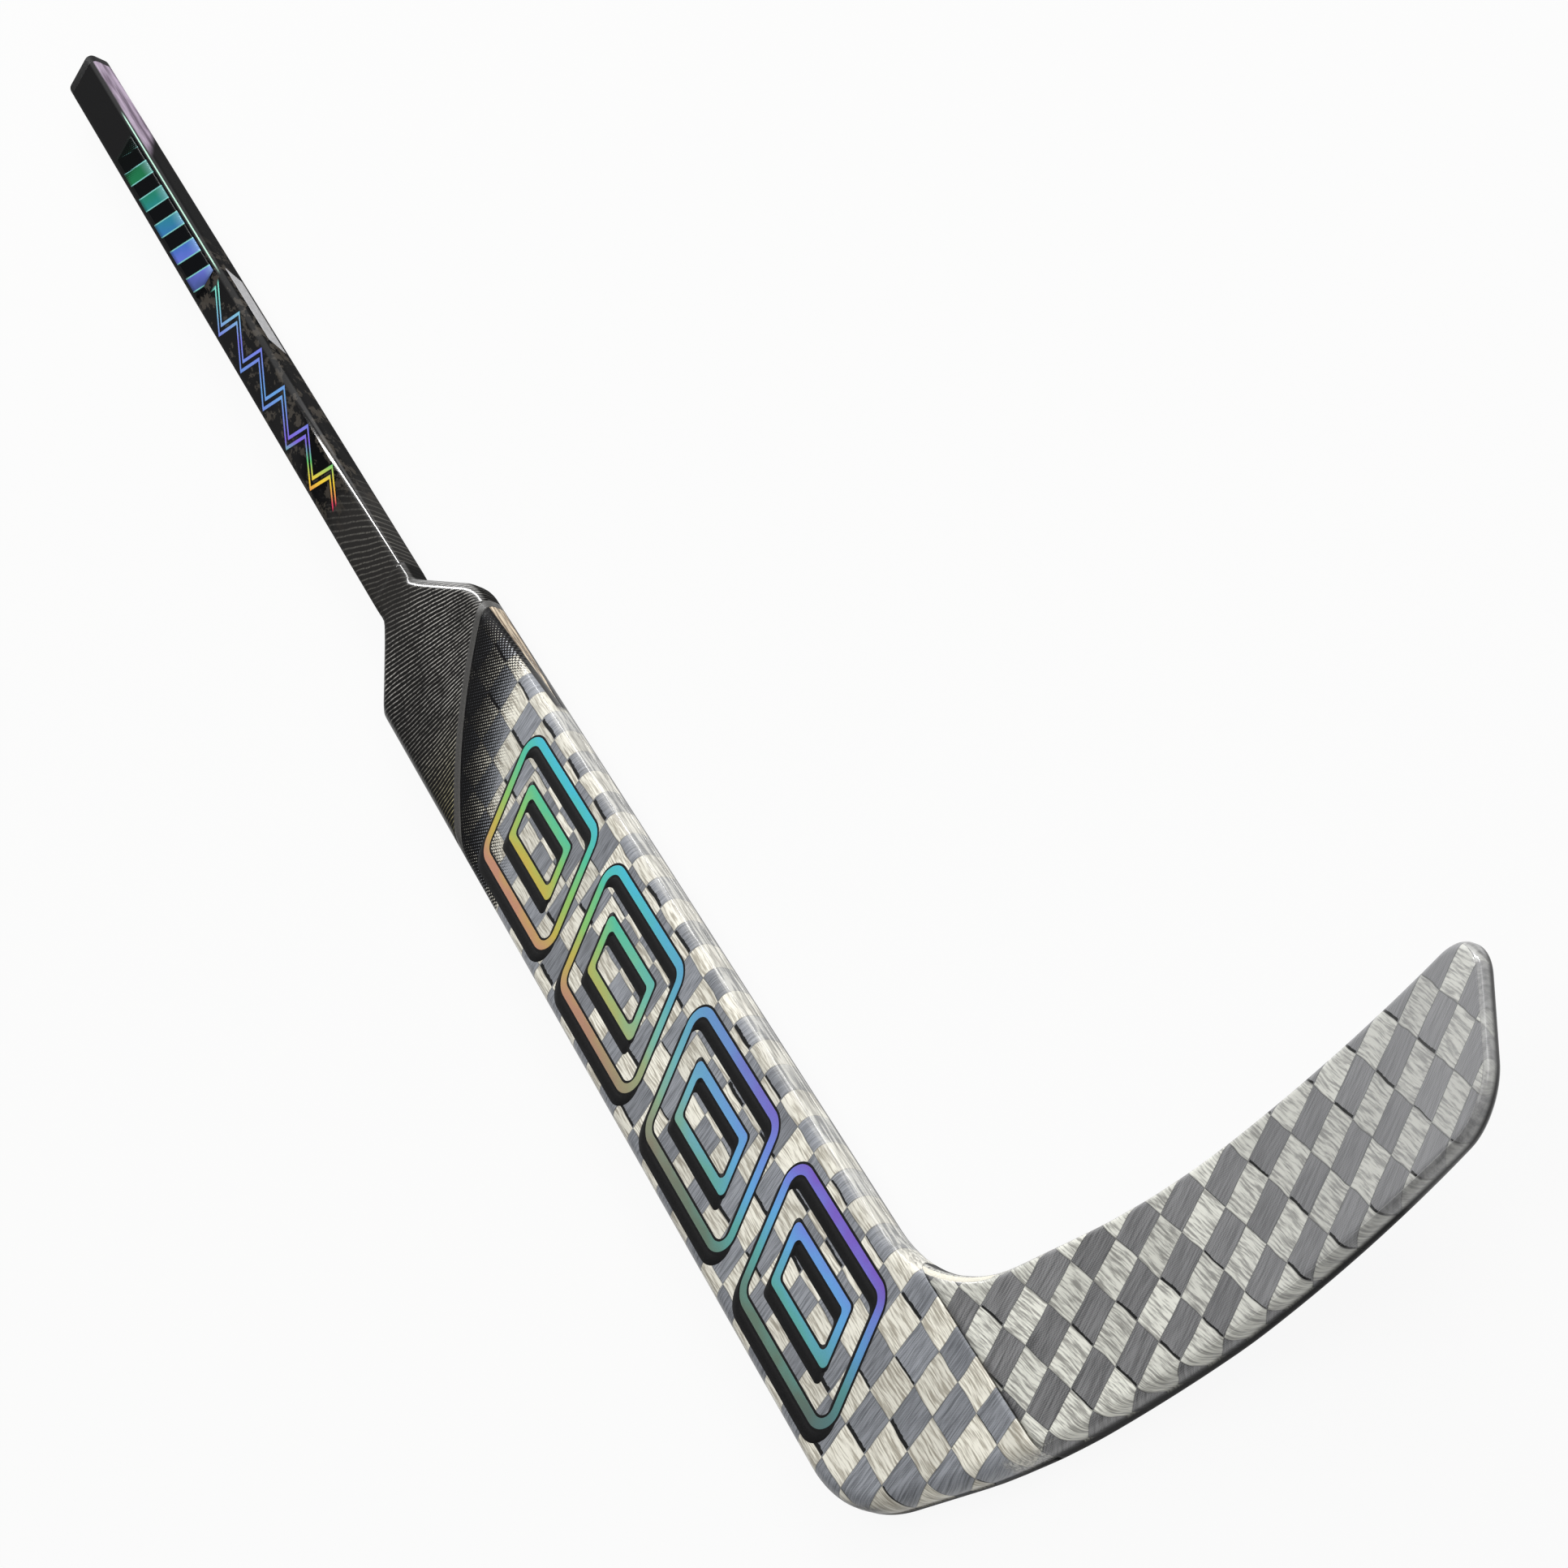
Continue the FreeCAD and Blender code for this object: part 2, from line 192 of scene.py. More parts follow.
def plateHeights(xy, gap):
    # Front, back and middle heights: the flat face, lifted by a power curve and twisted towards the toe,
    # falls to the edge by radius - sqrt(radius^2 - (radius - gap)^2).
    reach, height = bladePlace(xy)
    share = np.maximum((reach - stick["bendReach"]) / (stick["toeReach"] - stick["bendReach"]), 0)
    face = front + stick["toeLift"] * share ** stick["bendPower"]
    face = face - np.tan(np.radians(stick["toeTwist"])) * share * (height - stick["bendMiddle"])
    thick = front + (stick["toeThickness"] - front) * share
    radius = stick["paddleEdge"]
    radius = radius + (stick["bladeEdge"] - radius) * smooth(reach, *rounding["toBlade"])
    radius = radius + (stick["shaftCorner"] - radius) * smooth(xy[..., 1], *rounding["toShaft"])
    into = np.clip(radius - gap, 0, None)
    drop = radius - np.sqrt(np.clip(radius ** 2 - into ** 2, 0, None))
    return face - drop, face - thick + drop, face - thick / 2


def gridFaces(rows, columns, closed=False):
    # Four-sided faces between neighbouring rows and columns. A closed grid joins its last column to its
    # first.
    index = np.arange(rows * columns).reshape(rows, columns)
    if closed:
        index = np.concatenate([index, index[:, :1]], 1)
    corners = [index[:-1, :-1], index[1:, :-1], index[1:, 1:], index[:-1, 1:]]
    return np.stack(corners, -1).reshape(-1, 4)


# Metres within which points merge and slivers vanish, and degrees from which an edge is sharp.
meshing = {"merge": 1e-6, "sliver": 1e-7, "sharp": 42}


def makePiece(name, parts, material, body, replaced=(), shell=0.0, towards=None):
    # Joins (points, faces) parts in millimetres into one smooth mesh in metres, its faces pointing out.
    points = np.concatenate([part[0].reshape(-1, 3) for part in parts]) / millimetres
    starts = np.cumsum([0] + [part[0].reshape(-1, 3).shape[0] for part in parts])
    faces = np.concatenate([part[1] + start for part, start in zip(parts, starts)])
    mesh = bpy.data.meshes.new(name)
    mesh.from_pydata(points, [], faces.tolist())
    work = bmesh.new()
    work.from_mesh(mesh)
    bmesh.ops.remove_doubles(work, verts=work.verts, dist=meshing["merge"])
    bmesh.ops.dissolve_degenerate(work, edges=work.edges, dist=meshing["sliver"])
    bmesh.ops.recalc_face_normals(work, faces=work.faces)
    if towards is not None:
        facing = sum(np.dot(face.normal, towards) * face.calc_area() for face in work.faces)
        if facing < 0:
            bmesh.ops.reverse_faces(work, faces=work.faces)
    work.to_mesh(mesh)
    work.free()
    mesh.shade_smooth()
    mesh.set_sharp_from_angle(angle=np.radians(meshing["sharp"]))
    piece = bpy.data.objects.new(name, mesh)
    scene.collection.objects.link(piece)
    mesh.materials.append(material)
    if shell:
        solid = piece.modifiers.new("shell", "SOLIDIFY")
        solid.thickness = shell / millimetres
        solid.offset = -1
    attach(piece, body)
    if replaced:
        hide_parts(*replaced)
    print("piece", name, len(mesh.polygons), "faces")


class Wire:
    # One output in a node graph. Sums and products of wires add math nodes to that graph.
    def __init__(self, tree, socket):
        self.tree = tree
        self.socket = socket

    def __add__(self, other):
        return calc("ADD", self, other)

    def __sub__(self, other):
        return calc("SUBTRACT", self, other)

    def __rsub__(self, other):
        return calc("SUBTRACT", other, self)

    def __mul__(self, other):
        return calc("MULTIPLY", self, other)

    def __truediv__(self, other):
        return calc("DIVIDE", self, other)

    def __pow__(self, other):
        return calc("POWER", self, other)

    def __abs__(self):
        return calc("ABSOLUTE", self)


# Small helpers for node graphs: each takes wires or numbers and returns a wire.
def newNode(kind, *values):
    # A node in the graph of the first wire among its values.
    tree = next(value.tree for value in values if isinstance(value, Wire))
    return tree, tree.nodes.new(kind)


def feed(socket, value):
    # Links a wire to a socket, or sets numbers on it.
    if isinstance(value, Wire):
        value.tree.links.new(value.socket, socket)
    elif hasattr(socket.default_value, "__len__"):
        socket.default_value = (tuple(value) + (1.0,))[:len(socket.default_value)]
    else:
        socket.default_value = value


def calc(operation, *values):
    # One math node, its operation named as the node names it.
    tree, node = newNode("ShaderNodeMath", *values)
    node.operation = operation
    for socket, value in zip(node.inputs, values):
        feed(socket, value)
    return Wire(tree, node.outputs[0])


def least(first, second):
    return calc("MINIMUM", first, second)


def most(first, second):
    return calc("MAXIMUM", first, second)


def wholePart(value):
    return calc("FLOOR", value)


def fraction(value):
    return calc("FRACT", value)


def distance(x, y):
    return calc("SQRT", x * x + y * y)


def vectorCalc(operation, vector, other, result):
    tree, node = newNode("ShaderNodeVectorMath", vector)
    node.operation = operation
    feed(node.inputs[0], vector)
    feed(node.inputs[1], other)
    return Wire(tree, node.outputs[result])


def along(vector, direction):
    # The dot product.
    return vectorCalc("DOT_PRODUCT", vector, direction, "Value")


def stretched(vector, scales):
    # Each part of a vector times its own scale.
    return vectorCalc("MULTIPLY", vector, scales, "Vector")


def axes(vector):
    # The X, Y and Z of a vector.
    tree, node = newNode("ShaderNodeSeparateXYZ", vector)
    feed(node.inputs[0], vector)
    return [Wire(tree, socket) for socket in node.outputs]


def gather(x, y, z=0.0):
    tree, node = newNode("ShaderNodeCombineXYZ", x, y, z)
    for socket, value in zip(node.inputs, (x, y, z)):
        feed(socket, value)
    return Wire(tree, node.outputs[0])


def grain(vector, scale=1.0, detail=2.0, roughness=0.5):
    tree, node = newNode("ShaderNodeTexNoise", vector)
    feed(node.inputs["Vector"], vector)
    feed(node.inputs["Scale"], scale)
    feed(node.inputs["Detail"], detail)
    feed(node.inputs["Roughness"], roughness)
    return Wire(tree, node.outputs["Fac"])


def drift(vector, scale, detail, width):
    # A grain centred on zero, with the width between its ends.
    return (grain(vector, scale, detail) - 0.5) * width


def chance(vector):
    tree, node = newNode("ShaderNodeTexWhiteNoise", vector)
    node.noise_dimensions = "3D"
    feed(node.inputs["Vector"], vector)
    return Wire(tree, node.outputs["Value"])


def ease(value, low, high, start=0.0, end=1.0):
    # From start to end by a smooth step while the value goes from low to high.
    tree, node = newNode("ShaderNodeMapRange", value)
    node.interpolation_type = "SMOOTHSTEP"
    for socket, item in zip(node.inputs, (value, low, high, start, end)):
        feed(socket, item)
    return Wire(tree, node.outputs[0])


def fade(value, low, high):
    return ease(value, low, high, 1.0, 0.0)


def paint(red, green, blue):
    # Screen colour from 0 to 255 to the linear colour that the shader takes.
    value = np.array([red, green, blue]) / 255
    return tuple(np.where(value <= 0.04045, value / 12.92, ((value + 0.055) / 1.055) ** 2.4).tolist())


def blend(share, first, second, mode="MIX"):
    # A share of the second colour over the first. Three numbers are a screen colour.
    tree, node = newNode("ShaderNodeMix", share, first, second)
    node.data_type = "RGBA"
    node.blend_type = mode
    feed(node.inputs[0], share)
    for socket, colour in zip(node.inputs[6:8], (first, second)):
        feed(socket, colour if isinstance(colour, Wire) else paint(*colour))
    return Wire(tree, node.outputs[2])


def mottle(value, low, high, colours):
    # From the first colour to the second while the value goes from low to high.
    return blend(ease(value, low, high), *colours)


def ramp(share, stops):
    # Straight runs of colour between stops, each a share and a screen colour.
    tree, node = newNode("ShaderNodeValToRGB", share)
    feed(node.inputs[0], share)
    elements = node.color_ramp.elements
    while len(elements) < len(stops):
        elements.new(0.5)
    for element, (place, colour) in zip(elements, stops):
        element.position = place
        element.color = (*paint(*colour), 1)
    return Wire(tree, node.outputs[0])


def relief(shader, height, strength, depth):
    # Bump by a height, for a depth in millimetres.
    tree, node = newNode("ShaderNodeBump", height)
    feed(node.inputs["Strength"], strength)
    feed(node.inputs["Distance"], depth / millimetres)
    feed(node.inputs["Height"], height)
    feed(shader.inputs["Normal"], Wire(tree, node.outputs[0]))


def gloss(shader, roughness, coat, coatRoughness, specular):
    feed(shader.inputs["Roughness"], roughness)
    feed(shader.inputs["Coat Weight"], coat)
    feed(shader.inputs["Coat Roughness"], coatRoughness)
    feed(shader.inputs["Specular IOR Level"], specular)


def newGraph(name):
    # A material, its shader and the place on the piece in millimetres.
    material = bpy.data.materials.new(name)
    material.use_nodes = True
    tree = material.node_tree
    place = Wire(tree, tree.nodes.new("ShaderNodeTexCoord").outputs["Object"])
    return material, tree.nodes["Principled BSDF"], stretched(place, (millimetres,) * 3)


# Woven laminate: u and v are the pitch of the tows in millimetres and the direction across them in degrees,
# counted from a corner of one cell. Colours are the deep and the pale fibres of a tow, slit is a share of its
# width, and crossed is how strongly the crossed threads show.
towPitch = 17.35
weave = {
    "paddle": {"u": (towPitch, 0.0), "v": (towPitch, 90.0), "corner": (0.8, -18.0, 0),
               "light": ((166, 160, 146), (236, 233, 220)), "dark": ((101, 104, 109), (152, 155, 161)),
               "slit": 0.1, "crossed": 0.02},
    "blade": {"u": (17.923, 12.073), "v": (15.7256, -78.7095), "corner": (165.55, -688.24, 0),
              "light": ((150, 149, 143), (230, 230, 220)), "dark": ((84, 84, 85), (136, 136, 137)),
              "slit": 0.055, "crossed": 0.09},
}
# Both weaves: wander and the lines are shares of a tow, fibres are how fine the grain is along u and v, pale
# is the grain from which a fibre is pale, tone is the darkest cell and the range above it, and specular is
# for bright and dull places.
tow = {
    "wander": 0.12, "threads": 14, "cellSeed": 3.0, "slitSeed": 11.0, "fineShare": 0.75,
    "lightFibres": (22.0, 1.5), "lightPale": (0.38, 0.58),
    "darkFibres": (1.5, 28.0), "darkPale": (0.34, 0.64),
    "tone": (0.84, 0.3), "line": 0.03, "lineShare": 0.5,
    "slitChance": (0.1, 0.8), "slitEnds": (0.03, 0.05), "rags": 9.0, "ragged": (0.6, 0.8),
    "gap": (20, 20, 21), "toeGrey": (152, 153, 156), "toeReach": (60.0, 290.0), "toeShare": 0.4,
    "coat": 0.2, "specular": (0.25, 0.03), "crown": 0.5, "gapDepth": 0.6, "fibre": 0.5,
}
# Heights at which an edge stops being the sole's, and X at which it changes from the far side to the near.
edges = {"sole": (14.0, 24.0), "sides": (-5.0, 5.0), "arcPower": 1.5}


def streaks(u, v, cell, fine):
    # Fibres: a share of a fine grain and the rest of a coarse grain, both drawn out along the tow.
    vector = gather(u * fine[0], v * fine[1], cell)
    fineGrain = grain(vector, detail=3.0, roughness=0.6)
    coarseGrain = grain(vector, scale=0.3)
    return fineGrain * tow["fineShare"] + coarseGrain * (1 - tow["fineShare"])


def bladeAxes(place):
    # The reach along the sole and the height above it.
    reach = along(place, (bladeCos, -bladeSin, 0)) - stick["soleDrop"] * bladeSin
    height = along(place, (bladeSin, bladeCos, 0)) + stick["soleDrop"] * bladeCos
    return reach, height


def faceDepths(place):
    # How far a point lies below the bent and twisted front face, which plateHeights gives in the same way,
    # and how far it lies from the nearer of the two faces.
    reach, height = bladeAxes(place)
    share = most((reach - stick["bendReach"]) / (stick["toeReach"] - stick["bendReach"]), 0.0)
    twist = share * (height - stick["bendMiddle"]) * np.tan(np.radians(stick["toeTwist"]))
    face = share ** stick["bendPower"] * stick["toeLift"] + front - twist
    depth = face - axes(place)[2]
    thick = share * (stick["toeThickness"] - front) + front
    return depth, least(depth, thick - depth)


def edgeShift(place, kind):
    # How far a point moves outwards when the edges are laid out flat with the faces: the arc's length less
    # its width, which is near 0.57 * radius * (depth / radius)^1.5, and below the arc the rest of the depth.
    height = bladeAxes(place)[1]
    radius = stick[kind + "Edge"]
    nearer = most(faceDepths(place)[1], 0.0)
    bend = least(nearer / radius, 1.0) ** edges["arcPower"]
    shift = bend * ((np.pi / 2 - 1) * radius) + most(nearer - radius, 0.0)
    sole = fade(height, *edges["sole"])
    if kind == "paddle":
        upward = sole * -1.0
        sideways = (1.0 - sole) * ease(axes(place)[0], *edges["sides"], -1.0, 1.0)
    else:
        upward = 1.0 - sole * 2.0
        sideways = 0.0
    return gather(shift * (upward * bladeSin + sideways), shift * (upward * bladeCos))


def towCount(place, shift, cloth, axis):
    # Tows passed on the way from the corner to a point and its shift: the dot product with (cos, sin) / pitch.
    pitch, angle = cloth[axis]
    turn = np.radians(angle)
    across = np.array([np.cos(turn), np.sin(turn), 0.0]) / pitch
    return along(place, across) - across @ cloth["corner"] + along(shift, across)


def makeWeave(name, kind, shade):
    # Cells are light where column + row is odd, and dark elsewhere. Light cells streak along v and dark ones
    # along u. The relief is a crown over each cell, sin(pi * u) * sin(pi * v), with its fibres and its gaps.
    cloth = weave[kind]
    material, shader, place = newGraph(name)
    wander = drift(place, scale=0.06, detail=1.0, width=tow["wander"])
    shift = edgeShift(place, kind)
    u = towCount(place, shift, cloth, "u") + wander
    v = towCount(place, shift, cloth, "v") - wander
    column, row = wholePart(u), wholePart(v)
    inU, inV = fraction(u), fraction(v)
    light = calc("FLOORED_MODULO", column + row, 2.0)
    cell = chance(gather(column, row, tow["cellSeed"]))
    lightStreak = streaks(u, v, cell, tow["lightFibres"])
    darkStreak = streaks(u, v, cell, tow["darkFibres"])
    # Crossed threads show through the dark cells: a sine of u times a sine of v.
    thread = 2 * np.pi * tow["threads"]
    darkStreak = darkStreak + calc("SINE", u * thread) * calc("SINE", v * thread) * cloth["crossed"]
    darkColour = mottle(darkStreak, *tow["darkPale"], cloth["dark"])
    colour = blend(light, darkColour, mottle(lightStreak, *tow["lightPale"], cloth["light"]))
    tone = cell * tow["tone"][1] + tow["tone"][0]
    colour = blend(1.0, colour, gather(tone, tone, tone), "MULTIPLY")
    if kind == "blade":
        # Light and dark cells draw nearer to one cool grey towards the toe.
        toe = ease(bladeAxes(place)[0], *tow["toeReach"], 0.0, tow["toeShare"])
        colour = blend(toe, colour, tow["toeGrey"])
    # Tow edges: a fine line all round, and black slits beside most dark cells.
    edgeU = least(inU, 1.0 - inU)
    edgeV = least(inV, 1.0 - inV)
    line = ease(least(edgeU, edgeV), 0.0, tow["line"], tow["lineShare"], 0.0)
    width = ease(chance(gather(column, row, tow["slitSeed"])), *tow["slitChance"]) * cloth["slit"]
    ragged = grain(gather(0.0, v * tow["rags"], cell)) * tow["ragged"][1] + tow["ragged"][0]
    slit = calc("LESS_THAN", inU, width * ragged) * ease(edgeV, *tow["slitEnds"]) * (1.0 - light)
    dim = most(line, slit)
    colour, dull = shade(place, blend(dim, colour, tow["gap"]))
    feed(shader.inputs["Base Color"], colour)
    glossy, dullest = tow["specular"]
    gloss(shader, roughness=0.42, coat=(1.0 - dull) * tow["coat"], coatRoughness=0.12,
          specular=dull * (dullest - glossy) + glossy)
    crown = calc("SINE", inU * np.pi) * calc("SINE", inV * np.pi)
    fibre = blend(light, darkStreak, lightStreak)
    height = crown * tow["crown"] - dim * tow["gapDepth"] + fibre * tow["fibre"]
    relief(shader, height, strength=0.35, depth=0.3)
    return material


# The arc that the sleeve's strip follows: half its width, its crown, and the distances from the plate's edge
# over which the crown rises.
sleeveArc = {
    "centre": np.array([190.2, -282.9]), "radius": 255.7, "half": 2.5, "rise": 0.4, "edge": (1.0, 6.0),
}


def arcGap(place):
    # How far a point lies below the sleeve's lower edge: the arc's radius less the distance to its centre.
    x, y = axes(place)[:2]
    centreX, centreY = sleeveArc["centre"]
    return sleeveArc["radius"] - sleeveArc["half"] - distance(x - centreX, y - centreY)


# Printed dots: the pitch of their grid in millimetres, its turn in degrees, and the softness of a dot's rim as
# a share of the pitch.
halftone = {"pitch": 1.6, "turn": -48.0, "softness": 0.06}


def dotField(place, radius):
    # One where a point lies outside the round dots of a turned grid, every other row moved by half a step.
    turn = np.radians(halftone["turn"])
    cos, sin = np.cos(turn) / halftone["pitch"], np.sin(turn) / halftone["pitch"]
    row = along(place, (-sin, cos, 0))
    column = along(place, (cos, sin, 0)) + calc("FLOORED_MODULO", wholePart(row), 2.0) * 0.5
    away = distance(fraction(column) - 0.5, fraction(row) - 0.5)
    return ease(away - radius, -halftone["softness"], halftone["softness"])


# Pairs of ends are X, Y or depths in millimetres between which a colour comes in. A mottle is the low and
# high end of a grain and the two colours it goes between. Dots are radii as shares of their pitch. Pale is
# the share of a painted sheen on the near edge; the side, far and sole colours are painted shade.
paddleLook = {
    "black": (18, 18, 19), "dots": (0.06, 0.95), "clear": (-2.0, 95.0), "patches": 10.0,
    "clearAt": (-260.0, -200.0), "clearGap": (120.0, -30.0),
    "growthAt": (-200.0, -110.0), "growth": (1.7, 1.0),
    "fibres": (1.6, 0.05, 0.8), "edgeDepth": (0.6, 3.0), "railEnd": (-176.0, -168.0), "railX": (20.0, 30.0),
    "railSlope": (1, 0.07, 0), "railLine": (18.8, 19.4), "rail": (23.0, 23.8), "lineBlack": (16, 16, 17),
    "railMottle": (0.4, 0.62, ((118, 104, 90), (214, 198, 174))),
    "nearX": (30.0, 34.0), "sheenDepth": (0.3, 3.0), "pale": 0.65,
    "sheenMottle": (0.4, 0.6, ((140, 139, 136), (228, 226, 218))),
    "sideDepth": (11.0, 12.6), "sideShade": (30, 30, 30),
    "farX": (-30.0, -20.0), "farDepth": (1.0, 4.0), "farShadeAt": (-340.0, -240.0), "farShade": (20, 20, 21),
    "farShadeMottle": (0.5, 0.66, ((34, 34, 35), (128, 127, 122))),
    "soleDepth": (6.6, 11.0), "soleShade": (14, 14, 15),
}


def paddleShade(place, colour):
    # Black with pale dots that grow until the weave is clear, below the sleeve.
    look = paddleLook
    x, y = axes(place)[:2]
    gap = most(arcGap(place), ease(y, *look["clearAt"], *look["clearGap"]))
    gap = gap * ease(y, *look["growthAt"], *look["growth"])
    gap = gap + drift(place, scale=0.07, detail=2.0, width=look["patches"])
    cover = dotField(place, ease(gap, *look["clear"], *look["dots"]))
    colour = blend(cover, colour, look["black"])
    depth, nearer = faceDepths(place)
    below = ease(nearer, *look["edgeDepth"]) * depth
    fibre = grain(stretched(place, look["fibres"]), detail=3.0)
    # A bare rail runs down the blade-side edge below the shoulder, with a black line inside it.
    upper = ease(y, *look["railEnd"]) * ease(x, *look["railX"])
    rim = along(place, look["railSlope"]) - front + nearer
    colour = blend(upper * ease(rim, *look["railLine"]), colour, look["lineBlack"])
    colour = blend(upper * ease(rim, *look["rail"]), colour, mottle(fibre, *look["railMottle"]))
    # Further down, that rounded edge has a painted sheen, paler than the face,
    # and a line of painted shade low on its side.
    near = ease(x, *look["nearX"])
    lower = fade(y, *look["railEnd"]) * near * ease(nearer, *look["sheenDepth"], 0.0, look["pale"])
    colour = blend(lower, colour, mottle(fibre, *look["sheenMottle"]))
    colour = blend(near * ease(below, *look["sideDepth"]), colour, look["sideShade"])
    # The far edge has painted shade: black beside the sleeve, and streaked dark and pale further down and
    # round the heel.
    edge = blend(ease(y, *look["farShadeAt"]), mottle(fibre, *look["farShadeMottle"]), look["farShade"])
    colour = blend(fade(x, *look["farX"]) * ease(nearer, *look["farDepth"]), colour, edge)
    # Along the sole the rounded edge is darkened by painted shade.
    sole = fade(bladeAxes(place)[1], *edges["sole"]) * ease(below, *look["soleDepth"])
    return blend(sole, colour, look["soleShade"]), most(sole, cover)


bladeLook = {
    "ragged": 1.6, "shadow": (0.3, 5.0), "shadowShare": 0.4, "shadowBlack": (30, 30, 31),
    "line": (0.3, 0.9), "lineShare": 0.9, "lineBlack": (18, 18, 19),
    "flecks": (1.4, 1.4, 0), "silverSheen": (0.4, 0.6, ((112, 112, 110), (206, 205, 198))),
    "highlightDepth": (0.6, 1.8), "sideDepth": (4.2, 5.6), "edgeDepth": (0.5, 2.0), "sideShade": (40, 40, 41),
}


def bladeShade(place, colour):
    # A thin dark line and a soft shadow lie along the seam. The rounded edges, the throat's among them,
    # carry silvery streaks as a painted highlight, and painted shade runs down the side.
    look = bladeLook
    past = axes(place)[0] - stick["seam"] + drift(place, scale=0.3, detail=2.0, width=look["ragged"])
    colour = blend(ease(past, *look["shadow"], look["shadowShare"], 0.0), colour, look["shadowBlack"])
    colour = blend(ease(past, *look["line"], look["lineShare"], 0.0), colour, look["lineBlack"])
    depth, nearer = faceDepths(place)
    fleck = grain(stretched(place, look["flecks"]))
    colour = blend(ease(nearer, *look["highlightDepth"]), colour, mottle(fleck, *look["silverSheen"]))
    # Painted shade darkens the side of the edge, fading out towards the back.
    dark = ease(depth, *look["sideDepth"]) * ease(nearer, *look["edgeDepth"])
    return blend(dark, colour, look["sideShade"]), dark


bandLook = {
    "flecks": (0.5, 0.5, 0.2), "silverSheen": (0.36, 0.62, ((112, 112, 112), (152, 152, 150))),
    "sheenReach": (210.0, 285.0), "sheenShare": 0.65, "silverGloss": 1.6,
    "darkReach": (40.0, 300.0), "darkDepth": (6.6, 3.4), "darkSoft": (0.9, 1.7), "darkDull": 2.0,
    "edgeDepth": (0.4, 2.0), "black": (13, 13, 14),
}


def bandShade(place, colour):
    # The weave runs over the edge and turns black down the side, which is painted shade. Round the toe
    # the edge is streaked silver with a painted sheen, glossier than the weave.
    look = bandLook
    reach = bladeAxes(place)[0]
    depth, nearer = faceDepths(place)
    fleck = grain(stretched(place, look["flecks"]), detail=3.0)
    sheened = ease(reach, *look["sheenReach"])
    colour = blend(sheened * look["sheenShare"], colour, mottle(fleck, *look["silverSheen"]))
    start = ease(reach, *look["darkReach"], *look["darkDepth"])
    # Painted shade: black down the side, fading out where the band laps round to the back.
    dark = ease(depth / start, *look["darkSoft"]) * ease(nearer, *look["edgeDepth"])
    dull = dark * look["darkDull"] - sheened * look["silverGloss"]
    return blend(dark, colour, look["black"]), least(dull, 1.0)


# The stitched lines point at the focus, a spacing in radians apart. Stitch, and the broad grain that
# varies the lines at random, are the low and high end of a grain and the strength of the line at each. The
# neck is a range of Y.
sleeve = {
    "focus": (160.0, -152.0), "spacing": 0.0133, "wander": 0.6, "line": (0.07, 0.18), "rowStep": 7.3,
    "stitch": (0.32, 0.62, 0.25, 1.0), "broadGrain": (0.3, 0.7, 0.4, 1.0),
    "deep": (20, 19, 19), "pale": (190, 187, 181),
    "tint": (172, 163, 116), "tintSlope": (0.3, 1, 0), "tintAt": (-180.0, -90.0),
    "neckAt": (-45.0, 5.0), "neck": (92, 90, 86), "neckDeep": (43, 42, 41), "edgeShade": (18, 18, 18),
    "farX": (-41.0, -30.0), "farShadeShare": 0.75, "edgeDepth": (2.5, 5.0), "edgeShare": 0.8,
    "coat": 0.18, "neckCoat": 0.04, "edgeCoat": 0.8,
    "coatStart": (0.05, 0.5), "coatEnd": (2.6, 4.4), "coatX": (7.0, 15.0), "thinDepth": (2.5, 4.5),
    "specular": 0.05,
}


def stitched(place):
    # Black laminate whose pale lines all point at one place beyond the blade-side edge. Each line is broken
    # into stitches, and the lines grow fainter up the neck and yellower low on the far side.
    x, y = axes(place)[:2]
    dx, dy = x - sleeve["focus"][0], y - sleeve["focus"][1]
    across = calc("ARCTAN2", dy, dx * -1.0) / sleeve["spacing"]
    across = across + grain(place, scale=0.08, detail=1.0) * sleeve["wander"]
    line = fade(abs(fraction(across) - 0.5), *sleeve["line"])
    run = gather(distance(dx, dy), wholePart(across) * sleeve["rowStep"])
    line = line * ease(grain(run, scale=0.55, detail=3.0), *sleeve["stitch"])
    line = line * ease(grain(place, scale=0.025), *sleeve["broadGrain"])
    neck = ease(y, *sleeve["neckAt"])
    low = along(place, sleeve["tintSlope"])
    pale = mottle(low, *sleeve["tintAt"], (sleeve["tint"], sleeve["pale"]))
    pale = blend(neck, pale, sleeve["neck"])
    return line, blend(line, blend(neck, sleeve["deep"], sleeve["neckDeep"]), pale)


def makeSleeveFinish():
    # The stitched laminate, with painted shade along the far edge and down the rounded sides. The clear
    # coat is thickest high on the rounded blade-side edge, and thin below that and up the neck.
    material, shader, place = newGraph("sleeve_carbon")
    x, y = axes(place)[:2]
    line, colour = stitched(place)
    depth, nearer = faceDepths(place)
    # Painted shade: darker along the far edge and down the rounded sides.
    far = ease(x, *sleeve["farX"], sleeve["farShadeShare"], 0.0)
    edge = most(far, ease(nearer, *sleeve["edgeDepth"], 0.0, sleeve["edgeShare"]))
    feed(shader.inputs["Base Color"], blend(edge, colour, sleeve["edgeShade"]))
    rounded = ease(depth, *sleeve["coatStart"]) * fade(depth, *sleeve["coatEnd"]) * ease(x, *sleeve["coatX"])
    thin = most(ease(y, *sleeve["neckAt"]), ease(nearer, *sleeve["thinDepth"]))
    coat = rounded * sleeve["edgeCoat"] + (thin * (sleeve["neckCoat"] - sleeve["coat"]) + sleeve["coat"])
    gloss(shader, roughness=0.36, coat=coat, coatRoughness=0.16, specular=(1.0 - thin) * sleeve["specular"])
    relief(shader, line, strength=0.3, depth=0.1)
    return material


